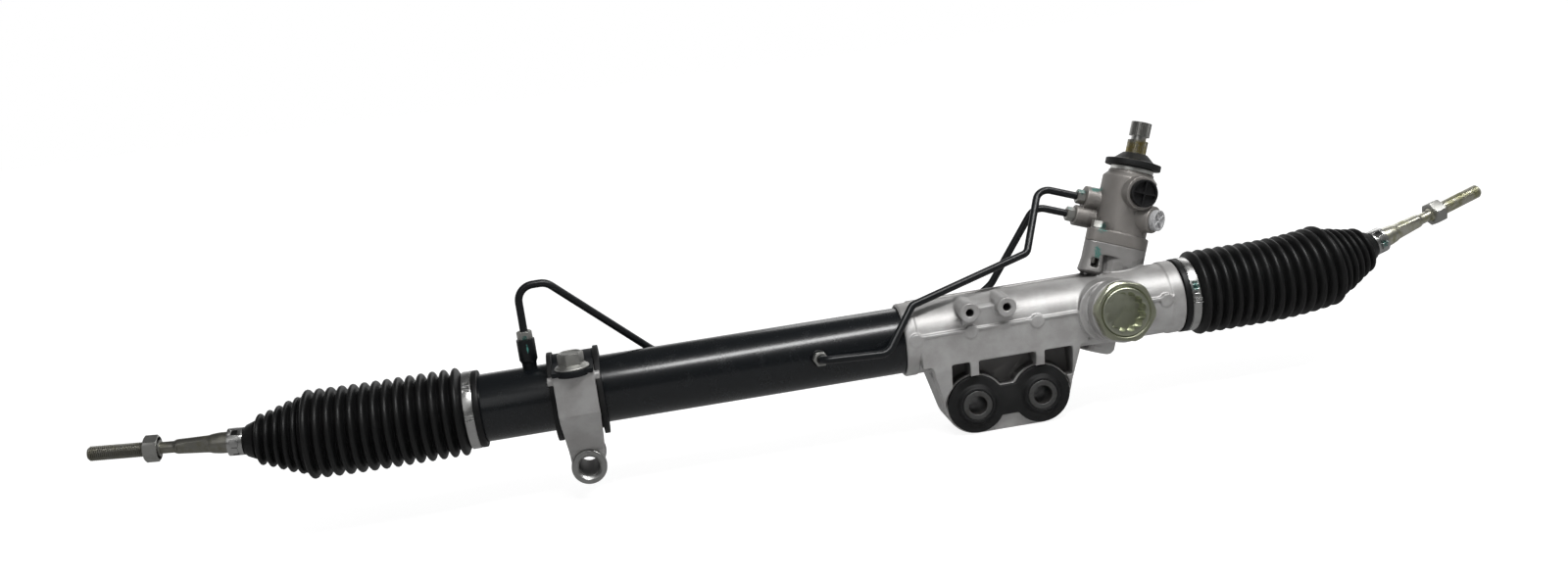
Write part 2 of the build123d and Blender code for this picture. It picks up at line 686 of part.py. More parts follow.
# Flange bolts of the valve housing
bolt_seat = PARTING + FLANGE_THICK
with BuildPart() as valve_bolts:
    with BuildSketch(across(STEM, PARTING + 1 - VALVE_BOLT_DEPTH)) as shanks:
        with Locations(*ear_places()):
            Circle(VALVE_BOLT_SHANK - SEAT)
    extrude(shanks.sketch, amount=FLANGE_THICK + VALVE_BOLT_DEPTH - 1)
    with BuildSketch(across(STEM, bolt_seat)) as washers:
        with Locations(*ear_places()):
            Circle(BOLT_WASHER)
    extrude(washers.sketch, amount=VALVE_WASHER_THICK)
    with BuildSketch(across(STEM, bolt_seat)) as heads:
        with Locations(*ear_places()):
            RegularPolygon(VALVE_BOLT_FLATS / 2, 6, major_radius=False)
    extrude(heads.sketch, amount=VALVE_BOLT_HEAD)
save(valve_bolts, "valve_bolts")

# Mount bush: figure-eight rubber with a bonded flange each side, and its two sleeves
with BuildPart() as mount_bush_rubber:
    with BuildSketch(Plane.XZ) as cores:
        with Locations((0, 0), (BUSH_SPACING, 0)):
            Circle(LUG_BORE)
    extrude(cores.sketch, amount=LUG_HALF, both=True)
    for way in (1, -1):
        with BuildSketch(Plane.XZ.offset(way * LUG_HALF)) as flanges:
            with Locations((0, 0), (BUSH_SPACING, 0)):
                Circle(RUBBER_FLANGE)
            with Locations((BUSH_SPACING / 2, 0)):
                Rectangle(BUSH_SPACING, 2 * RUBBER_WAIST)
        extrude(flanges.sketch, amount=way * RUBBER_THICK)
        with BuildSketch(Plane.XZ.offset(way * (LUG_HALF + RUBBER_THICK))) as hubs:
            with Locations((0, 0), (BUSH_SPACING, 0)):
                Circle(HUB_RADIUS)
        extrude(hubs.sketch, amount=way * HUB_HEIGHT, taper=35)
    with BuildSketch(Plane.XZ) as sleeve_holes:
        with Locations((0, 0), (BUSH_SPACING, 0)):
            Circle(SLEEVE_RADIUS)
    extrude(sleeve_holes.sketch, amount=SLEEVE_HALF + 5, both=True, mode=Mode.SUBTRACT)
save(mount_bush_rubber, "mount_bush_rubber")

with BuildPart() as mount_bush_sleeves:
    with BuildSketch(Plane.XZ) as sleeves:
        with Locations((0, 0), (BUSH_SPACING, 0)):
            Circle(SLEEVE_RADIUS)
            Circle(SLEEVE_BORE, mode=Mode.SUBTRACT)
    extrude(sleeves.sketch, amount=SLEEVE_HALF, both=True)
save(mount_bush_sleeves, "mount_bush_sleeves")

# Bearings, seals and bushes that stay with the housings
with BuildPart() as pinion_lower_bearing:
    ring(
        STEM, LOWER_BEARING_BASE, LOWER_BEARING_BASE + LOWER_BEARING_WIDTH,
        PINION_BORE, LOWER_JOURNAL + RUNNING,
    )
save(pinion_lower_bearing, "pinion_lower_bearing")

with BuildPart() as pinion_upper_bearing:
    turn(STEM, [
        (UPPER_BEARING_BASE, STEM_RADIUS + RUNNING),
        (UPPER_BEARING_BASE, INNER_RACE_RADIUS),
        (UPPER_BEARING_BASE + RACE_GROOVE, INNER_RACE_RADIUS + RACE_CHAMFER),
        (UPPER_BEARING_BASE + RACE_GROOVE, OUTER_RACE_RADIUS - RACE_CHAMFER),
        (UPPER_BEARING_BASE, OUTER_RACE_RADIUS),
        (UPPER_BEARING_BASE, UPPER_BEARING_RADIUS),
        (UPPER_BEARING_BASE + UPPER_BEARING_WIDTH, UPPER_BEARING_RADIUS),
        (UPPER_BEARING_BASE + UPPER_BEARING_WIDTH, STEM_RADIUS + RUNNING),
    ])
save(pinion_upper_bearing, "pinion_upper_bearing")

with BuildPart() as pinion_retainer:
    ring(
        STEM, UPPER_BEARING_BASE + UPPER_BEARING_WIDTH, PARTING - 1,
        UPPER_BEARING_RADIUS, STEM_RADIUS + SLIP,
    )
save(pinion_retainer, "pinion_retainer")

with BuildPart() as valve_needle_bearing:
    ring(STEM, SLEEVE_TOP + 1, SLEEVE_TOP + NEEDLE_WIDTH, NEEDLE_RADIUS, JOURNAL_RADIUS + RUNNING)
save(valve_needle_bearing, "valve_needle_bearing")

valve_mouth = VALVE_SHOULDER + NOSE_HEIGHT
with BuildPart() as valve_seal:
    turn(STEM, [
        (SLEEVE_TOP + NEEDLE_WIDTH, SEAL_RADIUS),
        (valve_mouth, SEAL_RADIUS),
        (valve_mouth, SEAL_RADIUS - SEAL_LIP_WALL),
        (valve_mouth - SEAL_LIP_DEPTH, SEAL_RADIUS - SEAL_LIP_WALL),
        (valve_mouth - SEAL_LIP_DEPTH, JOURNAL_RADIUS + RUNNING),
        (SLEEVE_TOP + NEEDLE_WIDTH, JOURNAL_RADIUS + RUNNING),
    ])
save(valve_seal, "valve_seal")

with BuildPart() as valve_top_ring:
    turn(STEM, [
        (valve_mouth, JOURNAL_RADIUS + SLIP),
        (valve_mouth + TOP_RING_HEIGHT, JOURNAL_RADIUS + SLIP),
        (valve_mouth + TOP_RING_HEIGHT, TOP_RING_RADIUS - 1),
        (valve_mouth + TOP_RING_HEIGHT - 1, TOP_RING_RADIUS),
        (valve_mouth, TOP_RING_RADIUS),
    ])
save(valve_top_ring, "valve_top_ring")

with BuildPart() as rack_bush:
    ring(
        ALONG, HOUSING_RIGHT - RACK_BUSH_WIDTH - 2, HOUSING_RIGHT - 2,
        RACK_BORE, RACK_RADIUS + RUNNING,
    )
save(rack_bush, "rack_bush")

seal_end = TUBE_JOINT + TUBE_INSERT
with BuildPart() as rack_inner_seal:
    ring(ALONG, seal_end - 2 * SEAL_WIDTH, seal_end, TUBE_BORE, RACK_RADIUS + RUNNING)
save(rack_inner_seal, "rack_inner_seal")

with BuildPart() as cylinder_end_bush:
    ring(ALONG, HOUSING_LEFT, HOUSING_LEFT + END_BUSH_LENGTH, TUBE_BORE, RACK_RADIUS + RUNNING)
    ring(
        ALONG, HOUSING_LEFT + END_BUSH_LENGTH - SEAL_WIDTH, HOUSING_LEFT + END_BUSH_LENGTH + 1,
        RACK_RADIUS + SEAL_WALL, mode=Mode.SUBTRACT,
    )
save(cylinder_end_bush, "cylinder_end_bush")

with BuildPart() as rack_outer_seal:
    ring(
        ALONG, HOUSING_LEFT + END_BUSH_LENGTH - SEAL_WIDTH, HOUSING_LEFT + END_BUSH_LENGTH,
        RACK_RADIUS + SEAL_WALL, RACK_RADIUS + RUNNING,
    )
save(rack_outer_seal, "rack_outer_seal")

# Yoke that presses the rack against the pinion, with its pad, disc springs, plug and lock nut
spring_base = YOKE_OUTER - SPRING_POCKET
pad_outer = RACK_RADIUS + RUNNING + PAD_THICK
with BuildPart() as rack_yoke:
    ring(YOKE_LINE, YOKE_INNER, YOKE_OUTER, YOKE_RADIUS)
    ring(YOKE_LINE, spring_base, YOKE_OUTER + 1, YOKE_RADIUS - SPRING_WALL, mode=Mode.SUBTRACT)
    ring(ALONG, YOKE_X - SADDLE_HALF, YOKE_X + SADDLE_HALF, pad_outer, mode=Mode.SUBTRACT)
save(rack_yoke, "rack_yoke")

with BuildPart() as yoke_pad:
    ring(YOKE_LINE, YOKE_INNER, YOKE_OUTER, YOKE_RADIUS - 1)
    ring(ALONG, YOKE_X - SADDLE_HALF, YOKE_X + SADDLE_HALF, pad_outer, pad_outer - PAD_THICK, mode=Mode.INTERSECT)
save(yoke_pad, "yoke_pad")

disc_rise = (PLUG_INNER - spring_base) / 2 - DISC_THICK
with BuildPart() as yoke_spring:
    for base, outer, inner in (
        (spring_base, DISC_OUTER, DISC_INNER),
        (spring_base + disc_rise + DISC_THICK, DISC_INNER, DISC_OUTER),
    ):
        turn(YOKE_LINE, [
            (base, outer),
            (base + disc_rise, inner),
            (base + disc_rise + DISC_THICK, inner),
            (base + DISC_THICK, outer),
        ])
save(yoke_spring, "yoke_spring")

with BuildPart() as yoke_plug:
    turn(YOKE_LINE, [
        (PLUG_INNER, 0),
        (PLUG_INNER, PLUG_THREAD),
        (PLUG_OUTER - 1, PLUG_THREAD),
        (PLUG_OUTER, PLUG_THREAD - 1),
        (PLUG_OUTER, 0),
    ])
    with BuildSketch(across(YOKE_LINE, PLUG_OUTER)) as socket:
        Circle(SOCKET_RADIUS)
        with PolarLocations(SOCKET_RADIUS + SCALLOP_OUT, SCALLOPS):
            Circle(SCALLOP_RADIUS)
    extrude(socket.sketch, amount=-SOCKET_DEPTH, mode=Mode.SUBTRACT)
save(yoke_plug, "yoke_plug")

with BuildPart() as yoke_lock_nut:
    prism(YOKE_LINE, YOKE_FACE, YOKE_FACE + NUT_THICK, NUT_FLATS, turned=NUT_TURN)
    turn(YOKE_LINE, [
        (YOKE_FACE - 1, NUT_CORNER),
        (YOKE_FACE + NUT_THICK - NUT_CHAMFER, NUT_CORNER),
        (YOKE_FACE + NUT_THICK, NUT_CORNER - NUT_CHAMFER),
        (YOKE_FACE + NUT_THICK + 1, NUT_CORNER - NUT_CHAMFER),
        (YOKE_FACE + NUT_THICK + 1, NUT_FLATS),
        (YOKE_FACE - 1, NUT_FLATS),
    ], mode=Mode.SUBTRACT)
    ring(YOKE_LINE, YOKE_FACE - 1, YOKE_FACE + NUT_THICK + 1, PLUG_THREAD + SEAT, mode=Mode.SUBTRACT)
save(yoke_lock_nut, "yoke_lock_nut")

# Clamp on the tube: flanged rubber sleeve, cast foot bracket, strap and bolt
clamp_half = CLAMP_WIDTH / 2
rubber_outer = TUBE_RADIUS + CLAMP_RUBBER
clamp_side = Plane(origin=(CLAMP_X, 0, AXIS_HEIGHT), x_dir=(0, 1, 0), z_dir=(1, 0, 0))
clamp_front = Plane(origin=(CLAMP_X, 0, AXIS_HEIGHT), x_dir=(1, 0, 0), z_dir=(0, -1, 0))
with BuildPart() as clamp_rubber:
    flange_end = clamp_half + SLIP + CLAMP_FLANGE_THICK
    turn(ALONG, [
        (CLAMP_X - flange_end, TUBE_RADIUS),
        (CLAMP_X - flange_end, CLAMP_FLANGE),
        (CLAMP_X - clamp_half - SLIP, CLAMP_FLANGE),
        (CLAMP_X - clamp_half - SLIP, rubber_outer),
        (CLAMP_X + clamp_half + SLIP, rubber_outer),
        (CLAMP_X + clamp_half + SLIP, CLAMP_FLANGE),
        (CLAMP_X + flange_end, CLAMP_FLANGE),
        (CLAMP_X + flange_end, TUBE_RADIUS),
    ])
save(clamp_rubber, "clamp_rubber")

with BuildPart() as clamp_bracket:
    with BuildSketch(clamp_side) as bracket_side:
        with BuildLine():
            Polyline(
                (-BRACKET_FRONT, BRACKET_TOP),
                (-BRACKET_FRONT, -6),
                (-FOOT_HALF, -FOOT_DROP + FOOT_RADIUS),
                (-FOOT_HALF, -FOOT_DROP),
                (FOOT_HALF, -FOOT_DROP),
                (FOOT_HALF, -FOOT_DROP + FOOT_RADIUS),
                (8, -rubber_outer - 4),
                (0, 0),
                (0, BRACKET_TOP),
                close=True,
            )
        make_face()
        Circle(rubber_outer, mode=Mode.SUBTRACT)
        with BuildLine():
            Polyline((0, 0), (0, rubber_outer + 2), (20, rubber_outer + 2), (20, -rubber_outer), close=True)
        make_face(mode=Mode.SUBTRACT)
    extrude(bracket_side.sketch, amount=clamp_half, both=True)
    # Waist seen from the front, down to the round foot
    with BuildSketch(clamp_front) as front_outline:
        with BuildLine():
            Polyline(
                (-clamp_half, BRACKET_TOP),
                (-clamp_half, -12),
                (-FOOT_RADIUS, -FOOT_DROP + 4),
                (FOOT_RADIUS, -FOOT_DROP + 4),
                (clamp_half, -12),
                (clamp_half, BRACKET_TOP),
                close=True,
            )
        make_face()
        with Locations((0, -FOOT_DROP)):
            Circle(FOOT_RADIUS)
    extrude(front_outline.sketch, amount=2 * BRACKET_FRONT, both=True, mode=Mode.INTERSECT)
    with BuildSketch(clamp_front) as foot:
        with Locations((0, -FOOT_DROP)):
            Circle(FOOT_RADIUS)
    extrude(foot.sketch, amount=FOOT_HALF, both=True)
    foot_line = Plane(
        origin=(CLAMP_X, 0, AXIS_HEIGHT - FOOT_DROP), x_dir=(0, -1, 0), z_dir=(1, 0, 0)
    )
    turn(foot_line, [
        (-FOOT_HALF - 1, 0),
        (-FOOT_HALF - 1, FOOT_BORE),
        (FOOT_HALF - FOOT_CHAMFER, FOOT_BORE),
        (FOOT_HALF, FOOT_BORE + FOOT_CHAMFER),
        (FOOT_HALF + 1, FOOT_BORE + FOOT_CHAMFER),
        (FOOT_HALF + 1, 0),
    ], mode=Mode.SUBTRACT)
    # Nubs beside the top face, and the blind thread for the bolt
    with BuildSketch(Plane.YZ.offset(CLAMP_X)) as nubs:
        with Locations((-BRACKET_FRONT + 4, AXIS_HEIGHT + BRACKET_TOP - NUB_RADIUS - 0.5)):
            Circle(NUB_RADIUS)
    extrude(nubs.sketch, amount=clamp_half + NUB_LENGTH, both=True)
    with BuildSketch(Plane.XY.offset(AXIS_HEIGHT + BRACKET_TOP)) as bolt_thread:
        with Locations((CLAMP_X, BOLT_Y)):
            Circle(BOLT_SHANK)
    extrude(bolt_thread.sketch, amount=-BOLT_LENGTH, mode=Mode.SUBTRACT)
save(clamp_bracket, "clamp_bracket")

strap_outer = rubber_outer + STRAP_THICK
with BuildPart() as clamp_strap:
    with BuildSketch(clamp_side) as strap_side:
        Circle(strap_outer)
        with BuildLine():
            Polyline(
                (-BRACKET_FRONT - 2, BRACKET_TOP + SEAT),
                (-BRACKET_FRONT - 2, BRACKET_TOP + SEAT + STRAP_THICK + STRAP_PAD),
                (-STRAP_TOP_REACH, BRACKET_TOP + SEAT + STRAP_THICK + STRAP_PAD),
                (0, strap_outer),
                (0, BRACKET_TOP + SEAT),
                close=True,
            )
        make_face()
        Circle(rubber_outer, mode=Mode.SUBTRACT)
        with BuildLine():
            Polyline(
                (-60, BRACKET_TOP),
                (0, BRACKET_TOP),
                (0, 0),
                (STRAP_TAIL, -rubber_outer - STRAP_TAIL_GAP),
                (STRAP_TAIL, -60),
                (-60, -60),
                close=True,
            )
        make_face(mode=Mode.SUBTRACT)
    extrude(strap_side.sketch, amount=clamp_half, both=True)
    with BuildSketch(Plane.XY.offset(AXIS_HEIGHT + BRACKET_TOP - 1)) as bolt_hole:
        with Locations((CLAMP_X, BOLT_Y)):
            Circle(BOLT_SHANK + 0.5)
    extrude(bolt_hole.sketch, amount=STRAP_THICK + 4, mode=Mode.SUBTRACT)
save(clamp_strap, "clamp_strap")

bolt_line = Plane(
    origin=(CLAMP_X, BOLT_Y, AXIS_HEIGHT + BRACKET_TOP + SEAT + STRAP_THICK + STRAP_PAD),
    x_dir=(0, 0, 1),
    z_dir=(1, 0, 0),
)
with BuildPart() as clamp_bolt:
    ring(bolt_line, -BOLT_LENGTH, 0, BOLT_SHANK - SEAT)
    turn(bolt_line, [
        (0, 0),
        (0, BOLT_FLANGE),
        (BOLT_FLANGE_EDGE, BOLT_FLANGE),
        (BOLT_FLANGE_HEIGHT, BOLT_FLATS / 2),
        (BOLT_FLANGE_HEIGHT, 0),
    ])
    prism(bolt_line, 0, BOLT_HEAD + 3, BOLT_FLATS, turned=10)
    ring(bolt_line, BOLT_HEAD + 1.5, BOLT_HEAD + 4, BOLT_FLATS / 2 - 2, mode=Mode.SUBTRACT)
save(clamp_bolt, "clamp_bolt")

# Unions on the tube
with BuildPart() as left_port_fitting:
    turn(LEFT_PORT, [
        (TUBE_RADIUS - 1.5, 0),
        (TUBE_RADIUS - 1.5, LEFT_PORT_RADIUS - 1.5),
        (TUBE_RADIUS + 4, LEFT_PORT_RADIUS - 1.5),
        (TUBE_RADIUS + 7, LEFT_PORT_RADIUS),
        (LEFT_PORT_TOP, LEFT_PORT_RADIUS),
        (LEFT_PORT_TOP, 0),
    ])
    ring(LEFT_PORT, TUBE_RADIUS - 2, LEFT_PORT_TOP + 1, PORT_HOLE, mode=Mode.SUBTRACT)
    ring(LEFT_PORT, LEFT_PORT_TOP - 6, LEFT_PORT_TOP + 1, UNION_BORE, mode=Mode.SUBTRACT)
    ring(ALONG, LEFT_PORT_X - SADDLE_REACH, LEFT_PORT_X + SADDLE_REACH, TUBE_RADIUS, mode=Mode.SUBTRACT)
save(left_port_fitting, "left_port_fitting")

with BuildPart() as front_port_fitting:
    ring(FRONT_PORT, TUBE_RADIUS - 2, FRONT_PORT_REACH, FRONT_PORT_RADIUS)
    ring(FRONT_PORT, TUBE_RADIUS - 3, FRONT_PORT_REACH + 1, UNION_BORE, mode=Mode.SUBTRACT)
    ring(ALONG, FRONT_PORT_X - SADDLE_REACH, FRONT_PORT_X + SADDLE_REACH, TUBE_RADIUS, mode=Mode.SUBTRACT)
save(front_port_fitting, "front_port_fitting")


def on_line(line, station):
    """Point at a station along a line."""
    return line.origin + line.x_dir * station


# Flare nuts at the four ends of the lines
nut_seats = (
    (LEFT_PORT, LEFT_PORT_TOP),
    (FRONT_PORT, FRONT_PORT_REACH),
    (UPPER_PORT, UPPER_REACH),
    (LOWER_PORT, LOWER_REACH),
)
with BuildPart() as line_nuts:
    for port, seat in nut_seats:
        prism(port, seat, seat + LINE_NUT_LENGTH, LINE_NUT_FLATS)
        ring(port, seat - NUT_SHANK, seat, UNION_BORE - SEAT)
        ring(port, seat - NUT_SHANK - 1, seat + LINE_NUT_LENGTH + 1, LINE_RADIUS + SEAT, mode=Mode.SUBTRACT)
save(line_nuts, "line_nuts")


def bent_pipe(points, radii):
    """Steel pipe of straight runs joined by bends."""
    with BuildLine() as path:
        FilletPolyline(*points, radius=radii)
    start = path.wires()[0]
    with BuildSketch(Plane(origin=start @ 0, z_dir=start % 0)) as section:
        Circle(LINE_RADIUS)
        Circle(LINE_RADIUS - LINE_WALL, mode=Mode.SUBTRACT)
    sweep(section.sketch, path=start)


def rack_point(x, y, height):
    """Point given by its height above the rack axis."""
    return Vector(x, y, AXIS_HEIGHT + height)


long_points = [
    on_line(LEFT_PORT, LEFT_PORT_TOP - LINE_DEPTH),
    rack_point(LEFT_PORT_X, 0, HOOK_TOP),
    rack_point(LEFT_PORT_X + HOOK_SPAN, HOOK_BACK, HOOK_TOP),
    rack_point(LEFT_PORT_X + SLOPE_SPAN, SLOPE_BACK, SLOPE_HEIGHT),
    rack_point(LEFT_PORT_X + RUN_START, RUN_BACK, RUN_HEIGHT),
    rack_point(RUN_END, RUN_BACK, RUN_HEIGHT),
    rack_point(CLIMB_X, CLIMB_BACK, CLIMB_HEIGHT),
    on_line(LOWER_PORT, LOWER_REACH + LOWER_LEAD),
    on_line(LOWER_PORT, LOWER_REACH - LINE_DEPTH),
]
long_radii = [BEND_RADIUS, BEND_RADIUS, SLOPE_BEND, SLOPE_BEND, RUN_BEND, CLIMB_BEND, BEND_RADIUS]
with BuildPart() as long_line:
    bent_pipe(long_points, long_radii)
save(long_line, "long_line")

short_points = [
    on_line(UPPER_PORT, UPPER_REACH - LINE_DEPTH),
    on_line(UPPER_PORT, UPPER_REACH + UPPER_LEAD),
    rack_point(FALL_TOP_X, 0, FALL_TOP_HEIGHT),
    rack_point(FALL_FOOT_X, -FALL_FOOT_FRONT, FALL_FOOT_HEIGHT),
    rack_point(KNEE_X, -KNEE_FRONT, KNEE_HEIGHT),
    on_line(FRONT_PORT, FRONT_PORT_REACH + FRONT_LEAD),
    on_line(FRONT_PORT, FRONT_PORT_REACH - LINE_DEPTH),
]
short_radii = [BEND_RADIUS, TIGHT_BEND, TIGHT_BEND, BEND_RADIUS, TIGHT_BEND]
with BuildPart() as short_line:
    bent_pipe(short_points, short_radii)
save(short_line, "short_line")

# Transport plugs in the two hose ports
with BuildPart() as pressure_port_plug:
    ring(PRESSURE_PORT, PLUG_REACH, PLUG_REACH + PLUG_HEAD, PLUG_RADIUS)
    ring(PRESSURE_PORT, PLUG_REACH - PLUG_DEPTH, PLUG_REACH, PRESSURE_THREAD - SEAT)
    ring(PRESSURE_PORT, PLUG_REACH + 1.5, PLUG_REACH + 6, PLUG_RADIUS - 1.6, mode=Mode.SUBTRACT)
    with BuildSketch(across(PRESSURE_PORT, PLUG_REACH + 1.5)) as plug_ribs:
        with PolarLocations(0, PLUG_RIBS // 2):
            Rectangle(2 * PLUG_RADIUS - 1.8, 1.3)
    extrude(plug_ribs.sketch, amount=2.6)
save(pressure_port_plug, "pressure_port_plug")

with BuildPart() as return_port_plug:
    ring(RETURN_PORT, RETURN_REACH, RETURN_REACH + PLUG_HEAD, RETURN_RADIUS)
    ring(RETURN_PORT, RETURN_REACH - PLUG_DEPTH, RETURN_REACH, RETURN_THREAD - SEAT)
    ring(RETURN_PORT, RETURN_REACH + 3, RETURN_REACH + 6, RETURN_RADIUS - 1.2, mode=Mode.SUBTRACT)
    with BuildSketch(across(RETURN_PORT, RETURN_REACH + 3)) as cross_ribs:
        with PolarLocations(0, 4):
            Rectangle(2 * RETURN_RADIUS - 1.4, 1.1)
    extrude(cross_ribs.sketch, amount=1.6)
save(return_port_plug, "return_port_plug")

# Rack bar: round bar, toothed flat towards the pinion, threaded bores in both ends
teeth_line = Plane(
    origin=(PINION_X, 0, AXIS_HEIGHT), x_dir=(1, 0, 0), z_dir=TOOTH_LINE
)
space_half = TOOTH_PITCH / 4
flank = tan(radians(PRESSURE_ANGLE))
tooth_bottom = CENTRE_DISTANCE - PINION_TIP - TIP_CLEARANCE
dedendum = RACK_TIP - MODULE - tooth_bottom
teeth_half = (RACK_SPACES + 0.5) * TOOTH_PITCH / 2
with BuildPart() as rack_bar:
    ring(end_line(1), -BAR_REACH, BAR_REACH, RACK_RADIUS)
    for side in (1, -1):
        ring(end_line(side), BAR_REACH - STUD_LENGTH - 2, BAR_REACH + 1, STUD_RADIUS, mode=Mode.SUBTRACT)
    with BuildSketch(teeth_line) as flat:
        with Locations((0, RACK_TIP + 10)):
            Rectangle(2 * teeth_half, 20)
    extrude(flat.sketch, amount=2 * RACK_RADIUS, both=True, mode=Mode.SUBTRACT)
    with BuildSketch(teeth_line) as spaces:
        with GridLocations(TOOTH_PITCH, 0, RACK_SPACES, 1):
            Polygon(
                (-space_half - flank * (MODULE + 1), RACK_TIP + 1),
                (-space_half + flank * dedendum, tooth_bottom),
                (space_half - flank * dedendum, tooth_bottom),
                (space_half + flank * (MODULE + 1), RACK_TIP + 1),
                align=None,
            )
    extrude(spaces.sketch, amount=2 * RACK_RADIUS, both=True, mode=Mode.SUBTRACT)
save(rack_bar, "rack_bar")

piston_half = PISTON_WIDTH / 2
with BuildPart() as piston:
    turn(ALONG, [
        (PISTON_X - piston_half, RACK_RADIUS),
        (PISTON_X - piston_half, TUBE_BORE - SLIP),
        (PISTON_X - RING_WIDTH / 2, TUBE_BORE - SLIP),
        (PISTON_X - RING_WIDTH / 2, TUBE_BORE - RING_DEPTH),
        (PISTON_X + RING_WIDTH / 2, TUBE_BORE - RING_DEPTH),
        (PISTON_X + RING_WIDTH / 2, TUBE_BORE - SLIP),
        (PISTON_X + piston_half, TUBE_BORE - SLIP),
        (PISTON_X + piston_half, RACK_RADIUS),
    ])
save(piston, "piston")

with BuildPart() as piston_ring:
    ring(ALONG, PISTON_X - RING_WIDTH / 2, PISTON_X + RING_WIDTH / 2, TUBE_BORE - RUNNING, TUBE_BORE - RING_DEPTH)
save(piston_ring, "piston_ring")


def pin_line(height):
    """Line of a cross pin through the torsion bar."""
    return pinion_line(height, 0)


PIN_REACH = JOURNAL_RADIUS - SLIP

# Pinion with helical teeth that mesh with the straight-cut rack
BASE_RADIUS = PITCH_RADIUS * cos(atan(tan(radians(PRESSURE_ANGLE)) / cos(INSTALL)))
TURN_RATE = -degrees(tan(INSTALL) / PITCH_RADIUS)


def roll_angle(radius):
    """Involute angle in radians at a radius."""
    pressure = acos(min(1.0, BASE_RADIUS / radius))
    return tan(pressure) - pressure


def tooth_half_angle(radius):
    """Half of a tooth's angle at a radius, the backlash taken off."""
    thick = MODULE * (pi / 2 + 2 * PROFILE_SHIFT * tan(radians(PRESSURE_ANGLE))) / cos(INSTALL)
    pitch_half = (thick - BACKLASH) / (2 * PITCH_RADIUS)
    return pitch_half + roll_angle(PITCH_RADIUS) - roll_angle(max(radius, BASE_RADIUS))


def polar(radius, angle):
    """Point in a plane square to the pinion, its first tooth towards the rack."""
    return (radius * cos(angle), radius * sin(angle))


def gear_section(station):
    """Toothed section of the pinion at a station, turned with the helix."""
    flank_radii = [PINION_TIP, (PINION_TIP + BASE_RADIUS) / 2, BASE_RADIUS, PINION_ROOT]
    with BuildSketch(across(STEM, station, TURN_RATE * station)) as section:
        Circle(PINION_ROOT)
        for tooth in range(PINION_TEETH):
            middle = 2 * pi * tooth / PINION_TEETH
            right = [polar(r, middle - tooth_half_angle(r)) for r in reversed(flank_radii)]
            left = [polar(r, middle + tooth_half_angle(r)) for r in flank_radii]
            with BuildLine():
                Polyline((0, 0), *right, *left, close=True)
            make_face()
    return section.sketch


with BuildPart() as pinion_gear:
    step = 2 * GEAR_HALF_WIDTH / GEAR_STEPS
    for k in range(GEAR_STEPS):
        low = -GEAR_HALF_WIDTH + k * step
        loft([gear_section(low), gear_section(low + step)], ruled=True)
    ring(STEM, LOWER_BEARING_BASE - 2, -GEAR_HALF_WIDTH, LOWER_JOURNAL)
    turn(STEM, [
        (GEAR_HALF_WIDTH, 0),
        (GEAR_HALF_WIDTH, STEM_RADIUS),
        (PARTING - 1 + SLIP, STEM_RADIUS),
        (PARTING - 1 + SLIP, VALVE_SLEEVE_RADIUS - 2),
        (SLEEVE_BASE, VALVE_SLEEVE_RADIUS - 2),
        (SLEEVE_BASE, 0),
    ])
    ring(STEM, BAR_BASE, SLEEVE_BASE + 1, BAR_HEAD, mode=Mode.SUBTRACT)
    ring(pin_line(LOWER_PIN), -STEM_RADIUS, STEM_RADIUS, PIN_RADIUS, mode=Mode.SUBTRACT)
save(pinion_gear, "pinion_gear")

# Rotary valve: sleeve with its sealing rings, torsion bar and the two pins
ring_places = [SLEEVE_BASE + 7 + k * 12 for k in range(4)]
with BuildPart() as valve_sleeve:
    ring(STEM, SLEEVE_BASE, SLEEVE_TOP, VALVE_SLEEVE_RADIUS, SHAFT_RADIUS + RUNNING)
    for place in ring_places:
        ring(
            STEM, place, place + VALVE_RING_WIDTH,
            VALVE_SLEEVE_RADIUS + 1, VALVE_SLEEVE_RADIUS - 1.2, mode=Mode.SUBTRACT,
        )
save(valve_sleeve, "valve_sleeve")

with BuildPart() as sleeve_rings:
    for place in ring_places:
        ring(STEM, place, place + VALVE_RING_WIDTH, VALVE_BORE - RUNNING, VALVE_SLEEVE_RADIUS - 1.2)
save(sleeve_rings, "sleeve_rings")

with BuildPart() as torsion_bar:
    turn(STEM, [
        (BAR_BASE, 0),
        (BAR_BASE, BAR_HEAD),
        (BAR_BASE + BAR_FOOT, BAR_HEAD),
        (BAR_BASE + BAR_FOOT + BAR_TAPER, BAR_RADIUS),
        (BAR_TOP - BAR_GRIP - BAR_TAPER, BAR_RADIUS),
        (BAR_TOP - BAR_GRIP, BAR_HEAD),
        (BAR_TOP, BAR_HEAD),
        (BAR_TOP, 0),
    ])
    ring(pin_line(LOWER_PIN), -PIN_REACH, PIN_REACH, PIN_RADIUS, mode=Mode.SUBTRACT)
    ring(pin_line(UPPER_PIN), -PIN_REACH, PIN_REACH, PIN_RADIUS, mode=Mode.SUBTRACT)
save(torsion_bar, "torsion_bar")

for place, name in ((LOWER_PIN, "bar_lower_pin"), (UPPER_PIN, "bar_upper_pin")):
    with BuildPart() as bar_pin:
        ring(pin_line(place), -PIN_REACH, PIN_REACH, PIN_RADIUS - SEAT)
    save(bar_pin, name)

